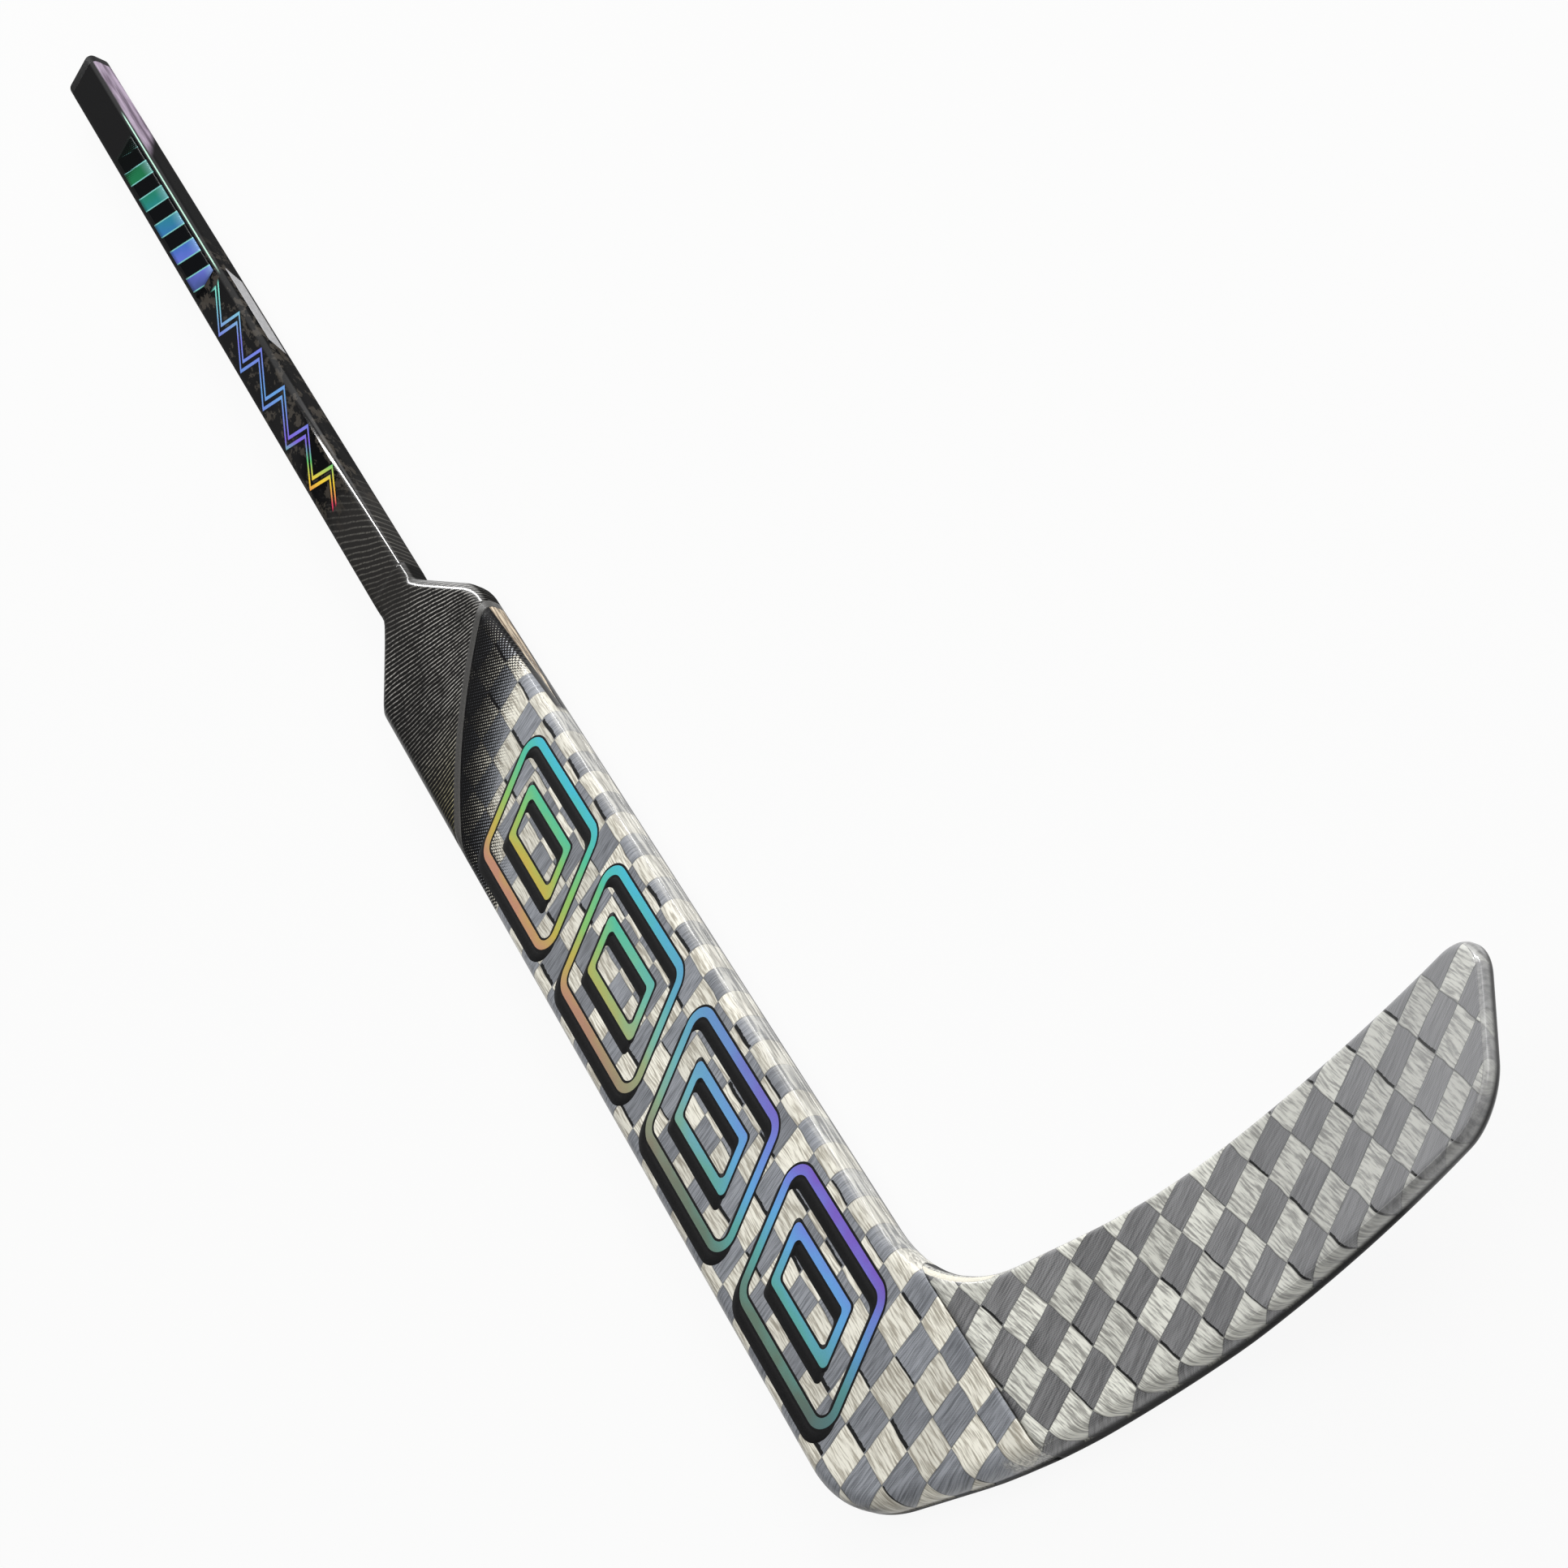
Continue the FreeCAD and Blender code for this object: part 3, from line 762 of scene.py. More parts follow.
# The zigzag is a pair of lines in a triangle wave of Y. Pairs of ends are X, Y or Z in millimetres.
shaftLook = {
    "marble": (0.16, 0.07, 0.16), "marbling": (0.52, 0.58, ((13, 13, 14), (58, 54, 49))),
    "marbleAt": (105.0, 150.0), "marbleReach": 60.0, "black": (13, 13, 14), "blackAt": (350.0, 420.0),
    "zigzag": (96.0, 352.0), "zigzagEnd": 4.0, "wave": 46.0, "lean": -0.8, "reach": 7.2, "line": 0.95,
    "lineSoft": 0.2, "apart": 4.6, "frontDepth": (1.6, 0.6), "slope": 2.0,
    "shadow": (1.6, 2.4), "shadowShare": 0.8, "shadowBlack": (12, 12, 13),
    "film": [(0.0, (206, 62, 92)), (0.1, (232, 196, 60)), (0.19, (96, 190, 110)), (0.28, (120, 96, 206)),
             (0.5, (96, 150, 206)), (0.75, (110, 110, 206)), (1.0, (120, 206, 190))],
    "stripe": (0.35, 0.75), "stripeFrom": (352.0, 372.0), "stripeTo": (572.0, 590.0),
    "stripeZ": (12.0, 13.0), "stripeShift": 4.6, "mint": (176, 216, 198),
    "lilacX": (12.6, 13.4), "lilacAt": (560.0, 580.0), "lilacSlope": 3.0, "veil": (0.02, 0.25),
    "lilac": (0.3, 0.7, ((92, 80, 94), (162, 148, 166))),
    "coat": 0.05, "cornerSum": (27.2, 28.4), "cornerTurn": (0.8, 2.4), "cornerAt": (110.0, 230.0),
    "cornerCoat": (0.85, 0.2),
}


def zigzagLines(place, colour):
    # Two lines in step: the distance to them is abs(abs(x - wave) - apart / 2). Their colour runs from a
    # short rainbow to violet and mint, over a dark shadow.
    look = shaftLook
    x, y, z = axes(place)
    start, end = look["zigzag"]
    wave = calc("PINGPONG", y + x * look["lean"], look["wave"] / 2)
    wave = wave * (4 * look["reach"] / look["wave"]) - look["reach"]
    off = abs(abs(x - wave) - look["apart"] / 2)
    span = ease(y, start, start + look["zigzagEnd"]) * fade(y, end - look["zigzagEnd"], end)
    span = span * ease(z, front - look["frontDepth"][0], front - look["frontDepth"][1])
    film = ramp((y + x * look["slope"] - start) / (end - start), look["film"])
    shadow = ease(off, *look["shadow"], look["shadowShare"], 0.0)
    colour = blend(span * shadow, colour, look["shadowBlack"])
    inLine = fade(off, look["line"] - look["lineSoft"], look["line"] + look["lineSoft"])
    return blend(span * inLine, colour, film)


def makeShaftFinish():
    # Black laminate: stitched lines below, marbled above, with a thin zigzag line down the front.
    material, shader, place = newGraph("shaft_carbon")
    look = shaftLook
    x, y, z = axes(place)
    line, lower = stitched(place)
    marble = grain(stretched(place, look["marble"]), detail=4.0, roughness=0.65)
    upper = mottle(marble, *look["marbling"])
    upper = blend(ease(y, *look["blackAt"]), upper, look["black"])
    colour = blend(ease(y + marble * look["marbleReach"], *look["marbleAt"]), lower, upper)
    colour = zigzagLines(place, colour)
    # Pinstripe on the blade-side corner, and a lilac field on that side near the butt.
    stripe = fade(abs(x - z + look["stripeShift"]), *look["stripe"]) * ease(y, *look["stripeFrom"])
    stripe = stripe * fade(y, *look["stripeTo"]) * ease(z, *look["stripeZ"])
    colour = blend(stripe, colour, look["mint"])
    lilac = ease(x, *look["lilacX"]) * ease(y + z * look["lilacSlope"], *look["lilacAt"])
    veil = grain(gather(y * look["veil"][0], z * look["veil"][1]))
    colour = blend(lilac, colour, mottle(veil, *look["lilac"]))
    feed(shader.inputs["Base Color"], colour)
    # The clear coat is thickest on the rounded corner between the front and the blade side.
    rounded = ease(x + z, *look["cornerSum"]) * ease(z - x, *look["cornerTurn"])
    rounded = rounded * ease(y, *look["cornerAt"], *look["cornerCoat"])
    gloss(shader, roughness=0.36, coat=rounded + look["coat"], coatRoughness=0.1, specular=0.0)
    relief(shader, line, strength=0.4, depth=0.1)
    return material


foil = {
    "start": 362.4, "end": 557.4, "half": 9.6, "film": 0.2, "rows": 60, "columns": 9,
    "colours": [(0.0, (26, 84, 52)), (0.3, (36, 118, 78)), (0.5, (44, 128, 136)), (0.7, (58, 104, 176)),
                (0.86, (104, 112, 206)), (1.0, (70, 84, 140))],
    "slope": 1.5, "drift": 0.1, "highlightX": (2.0, 10.0), "glow": (150, 190, 206), "highlightShare": 0.35,
    "barPitch": 37.0, "barSlant": 0.9, "barHalf": 0.27, "bar": (16, 17, 19), "rim": (126, 196, 190),
    "rimWidth": (0.012, 0.026), "rimShare": 0.9,
    "dotsEnd": (2.0, 55.0), "dots": (0.05, 0.85), "black": (15, 17, 17),
}


def makeFoilFinish():
    # Green, teal, blue and violet down the shaft under slanted black bars, fading up into black by dots.
    material, shader, place = newGraph("shaft_film")
    x, y = axes(place)[:2]
    share = (foil["end"] - (y + x * foil["slope"])) / (foil["end"] - foil["start"])
    share = share + drift(place, scale=0.06, detail=2.0, width=foil["drift"])
    colour = ramp(share, foil["colours"])
    # A painted highlight brightens the film towards its blade-side edge.
    colour = blend(ease(x, *foil["highlightX"], 0.0, foil["highlightShare"]), colour, foil["glow"])
    off = abs(fraction((y + x * foil["barSlant"]) / foil["barPitch"]) - 0.5)
    colour = blend(calc("LESS_THAN", off, foil["barHalf"]), colour, foil["bar"])
    rim = ease(abs(off - foil["barHalf"]), *foil["rimWidth"], foil["rimShare"], 0.0)
    colour = blend(rim, colour, foil["rim"])
    dots = ease(y, foil["end"] - foil["dotsEnd"][0], foil["end"] - foil["dotsEnd"][1], *foil["dots"])
    feed(shader.inputs["Base Color"], blend(dotField(place, dots), colour, foil["black"]))
    gloss(shader, roughness=0.3, coat=0.05, coatRoughness=0.1, specular=0.0)
    return material


barLook = {
    "upper": [(0.0, (200, 146, 120)), (0.24, (204, 184, 84)), (0.5, (142, 204, 112)), (0.75, (92, 202, 160)),
              (1.0, (78, 198, 220))],
    "lower": [(0.0, (104, 128, 112)), (0.3, (96, 174, 170)), (0.55, (104, 176, 232)), (0.8, (120, 140, 230)),
              (1.0, (128, 100, 204))],
    "half": 31.0, "drift": 0.3, "slope": (0.25, 1, 0), "turnsAt": (-500.0, -270.0),
    "duskAt": (-640.0, -560.0), "dusk": (74, 78, 100), "duskShare": 0.7,
    "speck": (20, 22, 26), "speckGrain": (0.3, 0.8), "speckShare": 0.2,
}


def makeBarFinish():
    # Colour runs across the paddle through one ramp above and another below, and grows dusky at the bottom.
    material, shader, place = newGraph("bar_film")
    look = barLook
    share = axes(place)[0] * (0.5 / look["half"]) + 0.5
    share = share + drift(place, scale=0.05, detail=2.0, width=look["drift"])
    y = along(place, look["slope"])
    colour = blend(ease(y, *look["turnsAt"]), ramp(share, look["lower"]), ramp(share, look["upper"]))
    colour = blend(ease(y, *look["duskAt"], look["duskShare"], 0.0), colour, look["dusk"])
    speck = ease(grain(place, scale=3.0), *look["speckGrain"], 0.0, look["speckShare"])
    feed(shader.inputs["Base Color"], blend(speck, colour, look["speck"]))
    gloss(shader, roughness=0.3, coat=0.2, coatRoughness=0.1, specular=0.35)
    return material


def makePlain(name, colours, scale, roughness, coat=0.0, stretch=(1, 1, 1), specular=0.5):
    # One colour broken by another where a grain stretched along an axis is high.
    material, shader, place = newGraph(name)
    flecks = (0.35, 0.7)
    fleck = grain(stretched(place, stretch), scale, detail=3.0)
    feed(shader.inputs["Base Color"], mottle(fleck, *flecks, colours))
    gloss(shader, roughness, coat, coatRoughness=0.12, specular=specular)
    relief(shader, fleck, strength=0.15, depth=0.1)
    return material


finishes = {
    "paddle": makeWeave("paddle_weave", "paddle", paddleShade),
    "blade": makeWeave("blade_weave", "blade", bladeShade),
    "sleeve": makeSleeveFinish(),
    "shaft": makeShaftFinish(),
    "bars": makeBarFinish(),
    "barEdge": makePlain("bar_edge", ((15, 15, 16), (24, 24, 25)), scale=2.0, roughness=0.45, specular=0.2),
    "foil": makeFoilFinish(),
    "label": makePlain("label_satin", ((156, 156, 158), (172, 172, 174)), scale=1.5, roughness=0.5,
                       stretch=(1, 0.15, 1), specular=0.05),
    "strip": makePlain("strip_grey", ((62, 61, 59), (78, 77, 75)), scale=1.2, roughness=0.45, coat=0.05,
                       specular=0.25),
    "plug": makePlain("plug_plastic", ((15, 15, 16), (22, 22, 23)), scale=2.5, roughness=0.5, specular=0.03),
    "band": makeWeave("band_weave", "blade", bandShade),
    "rib": makePlain("rib_laminate", ((48, 48, 50), (70, 70, 72)), scale=1.0, roughness=0.6,
                     stretch=(1, 0.1, 1)),
    "dense": makePlain("dense_core", ((186, 174, 140), (200, 190, 160)), scale=0.6, roughness=0.75),
    "foam": makePlain("closed_foam", ((222, 217, 202), (232, 229, 216)), scale=1.2, roughness=0.85),
}
print("finishes:", len(finishes))

inside = {
    "foam": ("shaft_end_plug", "paddle_core_outer", "paddle_core_inner", "blade_core_lower",
             "blade_core_upper"),
    "rib": ("paddle_outer_rail", "paddle_inner_rail", "paddle_web", "blade_web"),
    "dense": ("heel_block",),
}
for finish, names in inside.items():
    for name in names:
        nodes[name].data.materials.clear()
        nodes[name].data.materials.append(finishes[finish])
print("inside:", sum(len(names) for names in inside.values()), "pieces")

# Grid lines across the plate: counts of lines and rows, the share of a line that its edge rows may take and
# the least slope that widens them, how near the outline a wall starts, the power by which the sleeve's bow
# grows and how far the bow carries on below it, the Y at which the heel's lines start on the far and the near
# side, and the Y below which the seam is sought.
plate = {
    "sleeveLines": 46, "stripLines": 8, "paddleLines": 120, "heelLines": 60, "bladeLines": 120,
    "edgeRows": 9, "middleRows": 26, "leastSlope": 0.2, "edgeShare": 0.4, "wallGap": 0.2,
    "bowPower": 1.5, "bowFade": 160.0, "heelAt": (-560.0, -556.0), "seamBelow": -300.0,
}


def crossing(radius):
    # The lengths at which the two sides cross a circle about the sleeve's centre.
    def test(xy):
        return np.hypot(*(xy - sleeveArc["centre"]).T) - radius
    return lengthWhere(farSide, test), lengthWhere(nearSide, test)


def bowed(share, first, last, radius):
    # An arc about the sleeve's centre, less the straight line between its two ends.
    start = first - sleeveArc["centre"]
    end = last - sleeveArc["centre"]
    low = np.arctan2(start[..., 1], start[..., 0]) % (2 * np.pi)
    high = np.arctan2(end[..., 1], end[..., 0]) % (2 * np.pi)
    angle = low[:, None] + (high - low)[:, None] * share
    arc = sleeveArc["centre"] + radius[:, None, None] * np.stack([np.cos(angle), np.sin(angle)], -1)
    return arc - (first[:, None] + share[..., None] * (last - first)[:, None])


def acrossRows(farLength, nearLength, farInset, nearInset):
    # Shares across each line: rows crowd to the two edges as 1 - cos(angle), and lie evenly between.
    first = pointsAt(farSide, farLength) + farInset[:, None] * inwardAt(farSide, farLength, 1)
    last = pointsAt(nearSide, nearLength) + nearInset[:, None] * inwardAt(nearSide, nearLength, -1)
    span = last - first
    size = np.linalg.norm(span, axis=1)
    unit = span / size[:, None]

    def edgeShare(path, length):
        tangent = tangentsAt(path, length)
        slope = np.abs(unit[:, 0] * tangent[:, 1] - unit[:, 1] * tangent[:, 0])
        wide = stick["paddleEdge"] / np.maximum(slope, plate["leastSlope"])
        return np.minimum(wide, plate["edgeShare"] * size) / size

    crowd = 1 - np.cos(np.linspace(0, np.pi / 2, plate["edgeRows"]))
    low = edgeShare(farSide, farLength)[:, None] * crowd
    high = 1 - (edgeShare(nearSide, nearLength)[:, None] * crowd)[:, ::-1]
    between = np.linspace(0, 1, plate["middleRows"])[1:-1]
    inner = low[:, -1:] + (high[:, :1] - low[:, -1:]) * between
    return first, last, np.concatenate([low, inner, high], 1)


def makeLines():
    # The far and near lengths of every line, and the radii of the strip's lines.
    outer, inner = sleeveArc["radius"] + sleeveArc["half"], sleeveArc["radius"] - sleeveArc["half"]
    radii = np.linspace(outer, inner, plate["stripLines"])
    strip = np.array([crossing(radius) for radius in radii])

    def pastSeam(xy):
        return xy[:, 0] - stick["seam"]

    farHeel, nearHeel = plate["heelAt"]
    heel = (lengthWhere(farSide, lambda xy: xy[:, 1] - farHeel),
            lengthWhere(nearSide, lambda xy: xy[:, 1] - nearHeel))
    # The seam crosses the far side low on the sole, past the heel.
    throat = lengthWhere(nearSide, lambda xy: np.where(xy[:, 1] > plate["seamBelow"], -1, pastSeam(xy)))
    seam = (lengthWhere(farSide, pastSeam), throat)
    end = (lengthsOf(farSide)[-1], lengthsOf(nearSide)[-1])
    paddle = np.linspace(strip[-1], heel, plate["paddleLines"])[:-1]
    return {
        "sleeve": np.linspace((0, 0), strip[0], plate["sleeveLines"]),
        "strip": strip,
        "paddle": np.concatenate([paddle, np.linspace(heel, seam, plate["heelLines"])]),
        "blade": np.linspace(seam, end, plate["bladeLines"]),
        "radii": radii,
    }


lines = makeLines()

# Edge band of the blade: it narrows to nothing round the upper corner of the toe, and laps over the skins.
band = {"heelWidth": 1.4, "toeWidth": 2.4, "grows": (-340, -90), "taper": 34.0, "taperStart": 0.3,
        "steps": 240, "rows": 14, "lap": 0.4, "lift": 0.03}


def bandWidth(past):
    # The band's width at a length before or past the toe's upper corner: it grows from the heel to the toe.
    grown = band["heelWidth"] + (band["toeWidth"] - band["heelWidth"]) * smooth(past, *band["grows"])
    return grown * (1 - smooth(past, band["taperStart"] * band["taper"], band["taper"]))


def plateXy(kind):
    # Points across the plate for one region, its lines bowed to the sleeve's arc where they meet it.
    farLength, nearLength = lines[kind].T
    farInset, nearInset = np.zeros((2, len(farLength)))
    if kind == "blade":
        toe = np.linalg.norm(nearSide[-1] - farSide[-1])
        farInset = bandWidth(farLength - farLength[-1] - toe) - band["lap"]
        nearInset = np.maximum(bandWidth(nearLength[-1] - nearLength) - band["lap"], 0)
    first, last, share = acrossRows(farLength, nearLength, farInset, nearInset)
    xy = first[:, None] + share[..., None] * (last - first)[:, None]
    if kind == "strip":
        return xy + bowed(share, first, last, lines["radii"])
    if kind == "sleeve":
        edge, radius = -1, lines["radii"][0]
        weight = np.linspace(0, 1, len(first)) ** plate["bowPower"]
    elif kind == "paddle":
        edge, radius = 0, lines["radii"][-1]
        weight = 1 - smooth(farLength - farLength[0], 0, plate["bowFade"])
    else:
        return xy
    ends = np.broadcast_to(first[edge], first.shape), np.broadcast_to(last[edge], last.shape)
    bow = bowed(share, *ends, np.full(len(first), radius))
    size = np.linalg.norm(last - first, axis=1)
    return xy + bow * (weight * size / size[edge])[:, None, None]


def plateSheet(xy, side, rise=None):
    # One face of the plate with a row at mid-thickness on both edges.
    gap = edgeDistance(xy)
    high, low, mid = plateHeights(xy, gap)
    z = high if side > 0 else low
    if rise is not None:
        z = z + rise(gap)
    sheet = np.concatenate([xy, z[..., None]], -1)
    wall = np.concatenate([xy, np.where(gap < plate["wallGap"], mid, z)[..., None]], -1)
    return np.concatenate([wall[:, :1], sheet, wall[:, -1:]], 1)


def sheetPart(points, closed=False):
    # A grid of points with its faces.
    return points, gridFaces(*points.shape[:2], closed)


def makeSkin(name, xy, side, finish, node, rise=None):
    # One face of the plate as a shell, its faces pointing to the front for side 1 and to the back for -1.
    parts = [sheetPart(plateSheet(xy, side, rise))]
    makePiece(name, parts, finishes[finish], "stick", [node], stick["skin"], (0, 0, side))


# The paddle's front skin rises a little where it laps over the blade's, below the throat.
seamLap = {"rise": 0.5, "reach": 8.0, "end": 1.0, "below": (560, 590), "edge": 6.0}
paddleXy = plateXy("paddle")


def lapRise(gap):
    # The product of smooth steps towards the seam, down the paddle and in from the edge.
    toSeam = smooth(paddleXy[..., 0], stick["seam"] - seamLap["reach"], stick["seam"] - seamLap["end"])
    down = smooth(-paddleXy[..., 1], *seamLap["below"])
    return seamLap["rise"] * toSeam * down * smooth(gap, 0, seamLap["edge"])


makeSkin("paddleFrontSkin", paddleXy, 1, "paddle", "paddle_front_skin", lapRise)
makeSkin("paddleBackSkin", paddleXy, -1, "paddle", "paddle_back_skin")

sleeveXy = plateXy("sleeve")
sleeveRing = np.concatenate([plateSheet(sleeveXy, 1)[:, :-1], plateSheet(sleeveXy, -1)[:, ::-1][:, :-1]], 1)
makePiece("shoulderSleeve", [sheetPart(sleeveRing, True)], finishes["sleeve"], "stick",
          ["shoulder_sleeve"], stick["skin"])

stripCrown = np.sin(np.linspace(0, np.pi, plate["stripLines"]))[:, None] ** 0.5


def stripRise(gap):
    # The root of a sine across the strip, falling away towards the plate's edges.
    return sleeveArc["rise"] * stripCrown * smooth(gap, *sleeveArc["edge"])


stripXy = plateXy("strip")
makeSkin("shoulderStripFront", stripXy, 1, "strip", "shoulder_strip_front", stripRise)
makeSkin("shoulderStripBack", stripXy, -1, "strip", "shoulder_strip_back")


def makeBand():
    # A profile that wraps the edge, carried along the sole and round the toe, narrowing at its far end.
    start = lines["blade"][0, 0]
    sole = np.arange(start, lengthsOf(farSide)[-1], 1.0)
    path = np.concatenate([pointsAt(farSide, sole), nearSide[::-1]])
    before = lengthsOf(farSide)[-1] - start + np.linalg.norm(nearSide[-1] - farSide[-1])
    length = np.linspace(0, before + band["taper"], band["steps"])
    firstTangent = 0.31  # just past the reach over which a tangent is taken
    point, inward = pointsAt(path, length), inwardAt(path, np.maximum(length, firstTangent), 1)
    width = bandWidth(length - before)
    crowd = width[:, None] * (1 - np.cos(np.linspace(0, np.pi / 2, band["rows"])))
    xy = point[:, None] + crowd[..., None] * inward[:, None]
    high, low = plateHeights(xy, crowd)[:2]
    upper = np.concatenate([xy, high[..., None] + band["lift"]], -1)[:, ::-1]
    lower = np.concatenate([xy, low[..., None] - band["lift"]], -1)
    return np.concatenate([upper, lower], 1)


belowSole = (-bladeSin, -bladeCos, 0)
makePiece("bladeEdgeBand", [sheetPart(makeBand())], finishes["band"], "stick", ["blade_edge_band"],
          stick["skin"], belowSole)
bladeXy = plateXy("blade")
makeSkin("bladeFrontSkin", bladeXy, 1, "blade", "blade_front_skin")
makeSkin("bladeBackSkin", bladeXy, -1, "blade", "blade_back_skin")


def roundSection(y, inset, radius, arcRows=8):
    # Rounded rectangles across the shaft, one for each y, set in from its faces: four corner centres, each
    # with a quarter turn. An endless inset closes the section to its middle.
    closed = np.isinf(inset)
    halfWidth = np.where(closed, 0.0, stick["halfShaft"] - inset)
    halfThick = np.where(closed, 0.0, middle - inset)
    angle = (np.linspace(0, np.pi / 2, arcRows) + np.arange(4)[:, None] * np.pi / 2).ravel()
    signX = np.repeat([1, -1, -1, 1], arcRows)
    signZ = np.repeat([1, 1, -1, -1], arcRows)
    radius = np.where(closed, 0.0, radius)[:, None]
    x = signX * (halfWidth[:, None] - radius) + radius * np.cos(angle)
    z = middle + signZ * (halfThick[:, None] - radius) + radius * np.sin(angle)
    return np.stack([x, np.broadcast_to(np.asarray(y)[:, None], x.shape), z], -1)


# Shaft and its end plug: sections along Y.
shaft = {"stem": 38.0, "gap": 0.3, "stemEdge": 1.0, "leastCorner": 0.6, "endRadius": 3.0, "rows": 9}


def makeTube():
    # The tube, set in by a skin's thickness below the sleeve's top so that the tenon fits into the paddle.
    tenon = stick["skin"]
    y = [-stick["tenonLength"], stick["sleeveTop"], stick["sleeveTop"], stick["tubeEnd"]]
    radius = np.array([stick["paddleEdge"] - tenon] * 2 + [stick["shaftCorner"]] * 2)
    ring = roundSection(y, np.array([tenon, tenon, 0.0, 0.0]), radius)
    makePiece("shaftTube", [sheetPart(ring, True)], finishes["shaft"], "stick", ["shaft_tube"],
              stick["wall"])


def makePlug():
    # A stem with a small slope at its start, then a head whose end is rounded by a quarter turn.
    turn = np.linspace(0, np.pi / 2, shaft["rows"])
    stemInset = stick["wall"] + shaft["gap"]
    stemStart = stick["tubeEnd"] - shaft["stem"]
    y = np.concatenate([
        [stemStart, stemStart, stemStart + shaft["stemEdge"], stick["tubeEnd"], stick["tubeEnd"]],
        stick["capEnd"] - shaft["endRadius"] * (1 - np.sin(turn)), [stick["capEnd"]]])
    inset = np.concatenate([
        [np.inf, stemInset + shaft["stemEdge"], stemInset, stemInset, 0.0],
        shaft["endRadius"] * (1 - np.cos(turn)), [np.inf]])
    ring = roundSection(y, inset, np.maximum(stick["shaftCorner"] - inset, shaft["leastCorner"]))
    makePiece("buttEndPlug", [sheetPart(ring, True)], finishes["plug"], "butt_plug",
              ["butt_end_cap"])


makeTube()
makePlug()

# Films on the shaft: thin sheets on its front and its blade side. The label's middle is a Y.
label = {"length": 92.0, "height": 7.4, "slant": 13.0, "middle": 308.0}


def makeFilms():
    # A share along each film and one across it, from -1 to 1. The label's ends slant.
    rows, columns = np.linspace(0, 1, foil["rows"]), np.linspace(-1, 1, foil["columns"])
    share, across = np.meshgrid(rows, columns, indexing="ij")
    y = foil["start"] + (foil["end"] - foil["start"]) * share
    sheet = np.stack([across * foil["half"], y, np.full_like(y, front + foil["film"])], -1)
    makePiece("shaftFrontFoil", [sheetPart(sheet)], finishes["foil"], "stick",
              ["shaft_front_foil"], foil["film"], (0, 0, 1))
    y = label["middle"] + (share - 0.5) * label["length"] + across * label["slant"] / 2
    x = np.full_like(y, stick["halfShaft"] + foil["film"])
    sheet = np.stack([x, y, middle + across * label["height"] / 2], -1)
    makePiece("shaftSideLabel", [sheetPart(sheet)], finishes["label"], "stick",
              ["shaft_side_label"], foil["film"], (1, 0, 0))


makeFilms()

# Outlined bars on the paddle: closed loops with a thin section, with dark edges and shadows under them.
bars = {
    "count": 4, "first": 226.0, "pitch": 108.0, "height": 92.0, "width": 62.0, "slant": 20.0, "line": 4.5,
    "gap": 13.0, "corner": 11.0, "leastCorner": 3.0, "arcStep": 0.12, "film": 0.2, "bevel": 0.1,
    "sink": 0.02, "edge": 1.1, "edgeFilm": 0.12, "shadow": (-5.0, -0.8), "shadowFilm": 0.06,
}


def barLoop(drop, inset):
    # A slanted bar with rounded corners. Each corner moves in by the sum of the two edges' inward normals.
    x, y, lean = bars["width"] / 2, bars["height"] / 2, bars["slant"] / 2
    corners = np.array([(-x, -y - lean), (x, -y + lean), (x, y + lean), (-x, y - lean)]) - (0, drop)
    run = np.roll(corners, -1, 0) - corners
    normal = np.stack([-run[:, 1], run[:, 0]], -1) / np.linalg.norm(run, axis=1)[:, None]
    before = np.roll(normal, 1, 0)
    corners = corners + inset * (normal + before) / (1 + (normal * before).sum(1))[:, None]
    radius = max(bars["corner"] - inset, bars["leastCorner"])
    start = ((corners[0] + corners[3]) / 2, 0)
    return roundedPath([start] + [(corner, radius) for corner in corners] + [start], bars["arcStep"])


def ringPart(drop, low, high, top, shift=(0.0, 0.0)):
    # A ribbon between two insets of a bar, with its small edges and a base just under the face.
    insets = (low, low + bars["bevel"], high - bars["bevel"], high)
    xy = np.stack([barLoop(drop, inset) for inset in insets], 1) + np.array(shift)
    z = front + np.array([-bars["sink"], top, top, -bars["sink"]])
    points = np.concatenate([xy, np.broadcast_to(z, xy.shape[:2])[..., None]], -1)
    return sheetPart(points, True)


def makeBars():
    # Each bar is an outer and an inner loop.
    colour, edge, shadow = [], [], []
    rim = bars["edge"]
    for index in range(bars["count"]):
        drop = bars["first"] + bars["pitch"] * index
        for low in (0.0, bars["line"] + bars["gap"]):
            high = low + bars["line"]
            colour.append(ringPart(drop, low, high, bars["film"]))
            edge.append(ringPart(drop, low - rim, high + rim, bars["edgeFilm"]))
            shadow.append(ringPart(drop, low - rim, high + rim, bars["shadowFilm"], bars["shadow"]))
    makePiece("paddleBars", colour, finishes["bars"], "stick", ["paddle_front_decals"])
    makePiece("paddleBarEdges", edge, finishes["barEdge"], "stick")
    makePiece("paddleBarShadows", shadow, finishes["barEdge"], "stick")


makeBars()

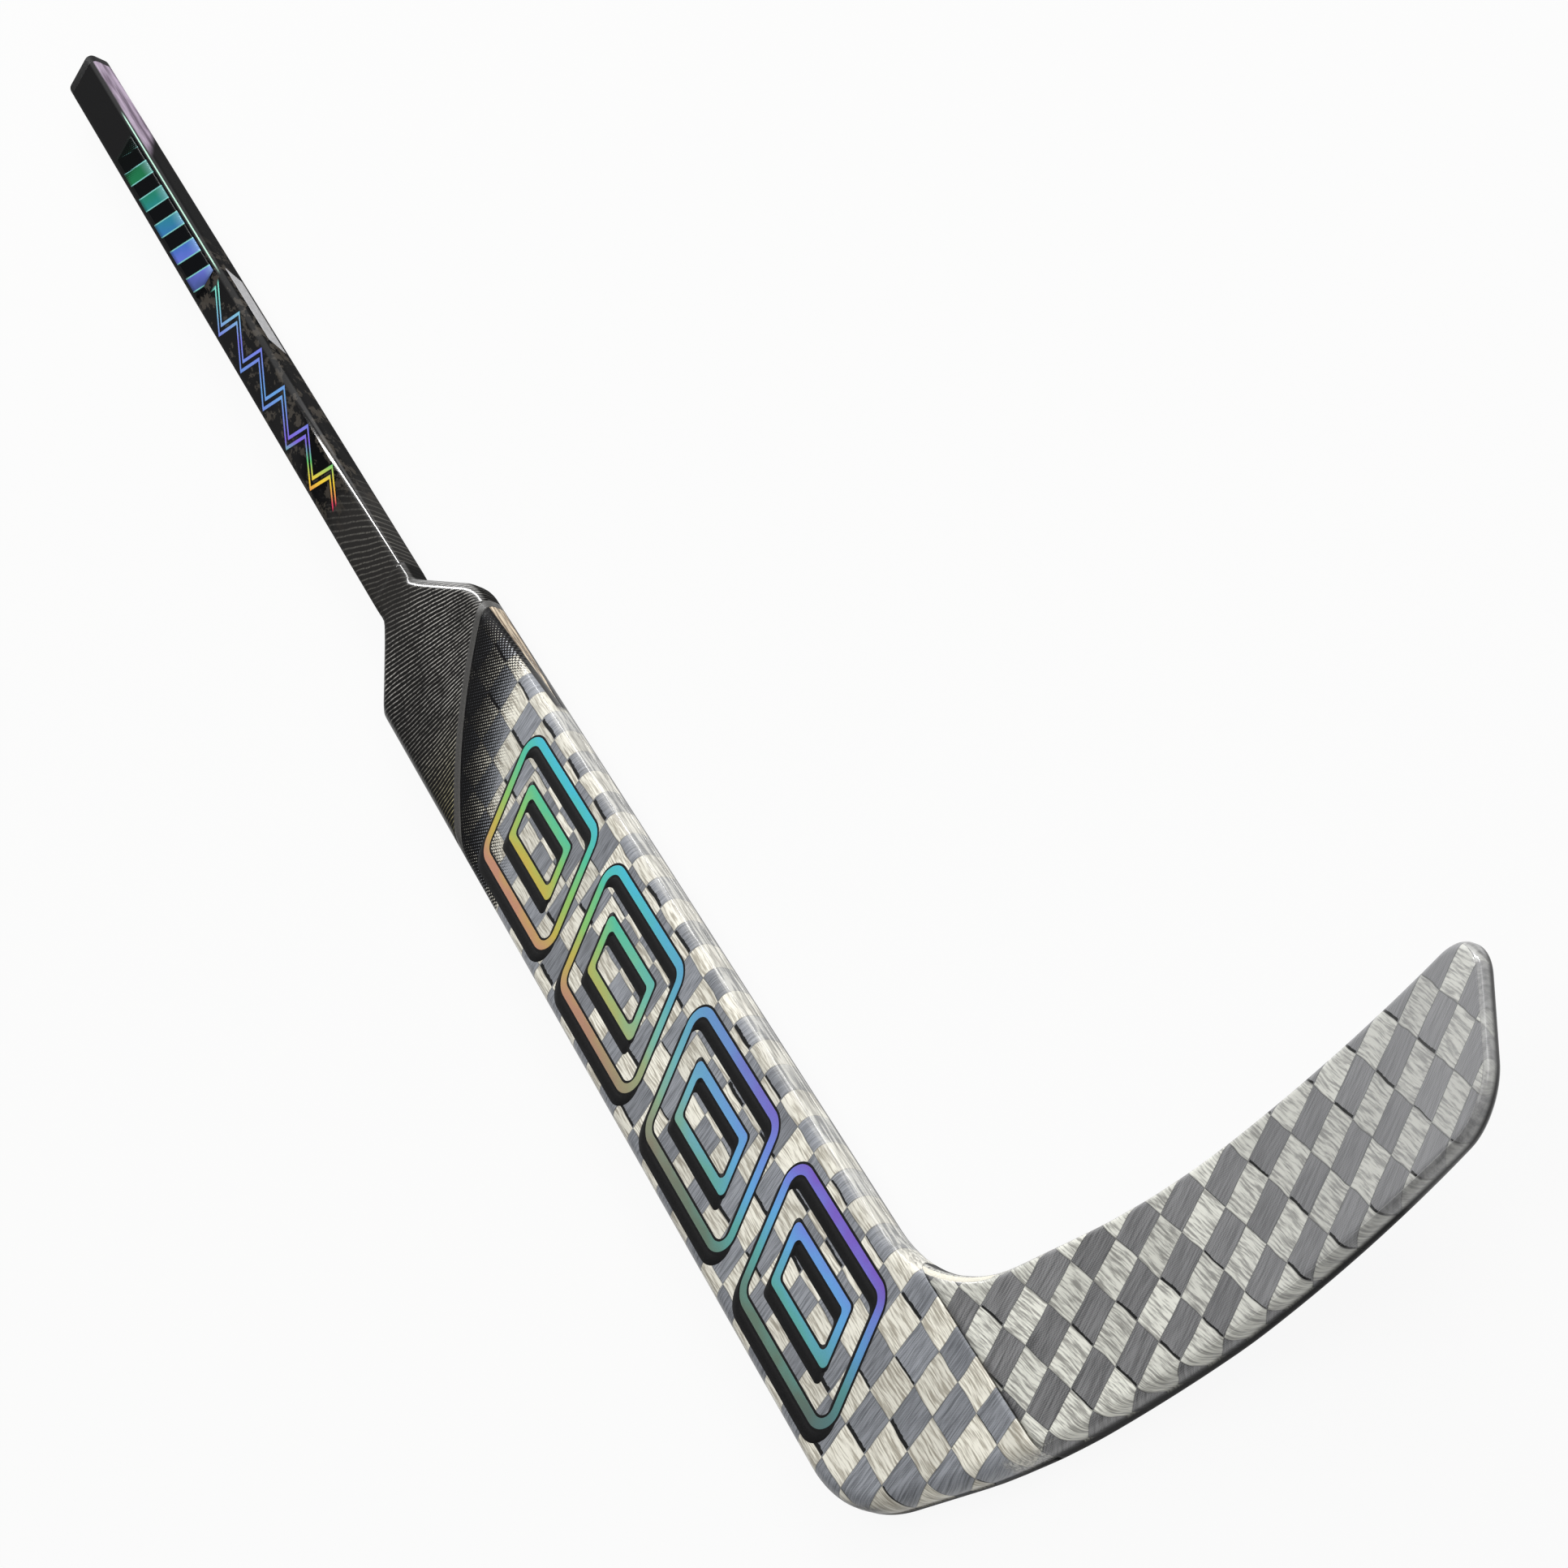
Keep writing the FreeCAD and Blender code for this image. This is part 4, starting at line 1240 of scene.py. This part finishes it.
# Studio: the camera in millimetres, degrees about X, Y and Z, and pixels, the floor and lamps in metres, and
# the room's light from dim to fill.
studio = {
    "cameraPlace": (584.872, -1531.601, 925.254), "cameraTurn": (25.66344, 50.02614, -35.13874),
    "focal": 4556.43, "centre": (918.41, 1032.30), "frame": 1932.0, "sensor": 36.0, "farthest": 50,
    "floor": (204, 204, 202), "white": 0.92, "floorDrop": 0.0004, "floorCentre": 1e-4, "floorFlat": 2.0,
    "floorReach": 5.0, "rimWidth": 2.0, "rimHeight": 1.1, "rimRows": 14, "floorSides": 72,
    "dim": 0.1, "fill": 0.75, "fillFrom": (0.7, -0.4, 0.6), "fillRange": (-0.3, 0.9),
}
lamps = {
    "side": {"place": (1.7, -0.5, 0.9), "aim": (0.05, -0.2, 0), "size": (2.0, 0.5), "power": 13},
    "top": {"place": (0.1, 0.1, 2.2), "aim": (0.05, -0.1, 0), "size": (1.4, 1.8), "power": 12},
    "corner": {"place": (1.1, 2.4, 0.9), "aim": (0.1, -0.1, 0), "size": (3.2, 0.16), "power": 66},
}


def makeCamera():
    # A pinhole: its focal length and centre in pixels become a lens in millimetres and a shift in frames.
    lens = bpy.data.cameras.new("camera")
    lens.sensor_width = studio["sensor"]
    lens.lens = studio["focal"] / studio["frame"] * studio["sensor"]
    lens.shift_x = 0.5 - studio["centre"][0] / studio["frame"]
    lens.shift_y = studio["centre"][1] / studio["frame"] - 0.5
    lens.clip_end = studio["farthest"]
    camera = bpy.data.objects.new("camera", lens)
    scene.collection.objects.link(camera)
    place = np.array(studio["cameraPlace"]) / millimetres
    turn = Euler(np.radians(studio["cameraTurn"]).tolist())
    camera.matrix_world = Matrix.Translation(place.tolist()) @ turn.to_matrix().to_4x4()
    scene.camera = camera


def makeFloorFinish():
    # White to the camera and in reflections, and pale elsewhere, so that the floor keeps the shadow.
    material = bpy.data.materials.new("floor_pale")
    material.use_nodes = True
    tree = material.node_tree
    tree.nodes.clear()
    matte = tree.nodes.new("ShaderNodeBsdfDiffuse")
    matte.inputs["Color"].default_value = (*paint(*studio["floor"]), 1)
    glow = tree.nodes.new("ShaderNodeEmission")
    glow.inputs["Color"].default_value = (1, 1, 1, 1)
    rays = tree.nodes.new("ShaderNodeLightPath").outputs
    mixed = tree.nodes.new("ShaderNodeMixShader")
    out = tree.nodes.new("ShaderNodeOutputMaterial")
    seen = most(Wire(tree, rays["Is Camera Ray"]), Wire(tree, rays["Is Glossy Ray"]))
    seen = most(seen, Wire(tree, rays["Is Transmission Ray"]))
    feed(mixed.inputs[0], seen * studio["white"])
    tree.links.new(matte.outputs[0], mixed.inputs[1])
    tree.links.new(glow.outputs[0], mixed.inputs[2])
    tree.links.new(mixed.outputs[0], out.inputs[0])
    return material


def makeFloor():
    # A flat disc that turns up at its rim: radius and height along one profile, carried round.
    rise = np.linspace(0, np.pi / 2, studio["rimRows"])
    rim = studio["floorReach"] + studio["rimWidth"] * np.sin(rise)
    radius = np.concatenate([[studio["floorCentre"], studio["floorFlat"]], rim])
    height = np.concatenate([[0, 0], studio["rimHeight"] * (1 - np.cos(rise))]) - studio["floorDrop"]
    angle = np.linspace(0, 2 * np.pi, studio["floorSides"], endpoint=False)
    points = np.stack([np.outer(radius, np.cos(angle)), np.outer(radius, np.sin(angle)),
                       np.outer(height, np.ones_like(angle))], -1)
    mesh = bpy.data.meshes.new("floor")
    mesh.from_pydata(points.reshape(-1, 3), [], gridFaces(len(radius), len(angle), True).tolist())
    mesh.shade_smooth()
    floor = bpy.data.objects.new("floor", mesh)
    scene.collection.objects.link(floor)
    mesh.materials.append(makeFloorFinish())


def makeRoom():
    # The room is brighter above and on the blade's side, and dark beyond the butt end.
    world = bpy.data.worlds.new("studio")
    scene.world = world
    world.use_nodes = True
    tree = world.node_tree
    back = tree.nodes["Background"]
    back.inputs["Color"].default_value = (1, 1, 1, 1)
    around = Wire(tree, tree.nodes.new("ShaderNodeTexCoord").outputs["Generated"])
    level = ease(along(around, studio["fillFrom"]), *studio["fillRange"], studio["dim"], studio["fill"])
    feed(back.inputs["Strength"], level)


def makeLamps():
    # Each lamp's back points away from its aim, and its first side lies level. The columns of its matrix are
    # three axes and a place.
    for name, lamp in lamps.items():
        light = bpy.data.lights.new(name, "AREA")
        light.shape = "RECTANGLE"
        light.size, light.size_y = lamp["size"]
        light.energy = lamp["power"]
        lampObject = bpy.data.objects.new(name, light)
        scene.collection.objects.link(lampObject)
        away = np.array(lamp["place"], float) - np.array(lamp["aim"])
        away /= np.linalg.norm(away)
        sideways = np.cross((0, 0, 1), away)
        sideways /= np.linalg.norm(sideways)
        turned = np.eye(4)
        turned[:3] = np.stack([sideways, np.cross(away, sideways), away, lamp["place"]], 1)
        lampObject.matrix_world = Matrix(turned.tolist())


makeCamera()
makeFloor()
makeRoom()
makeLamps()
scene.view_settings.view_transform = "Standard"
print("studio: camera, floor and", len(lamps), "lamps")
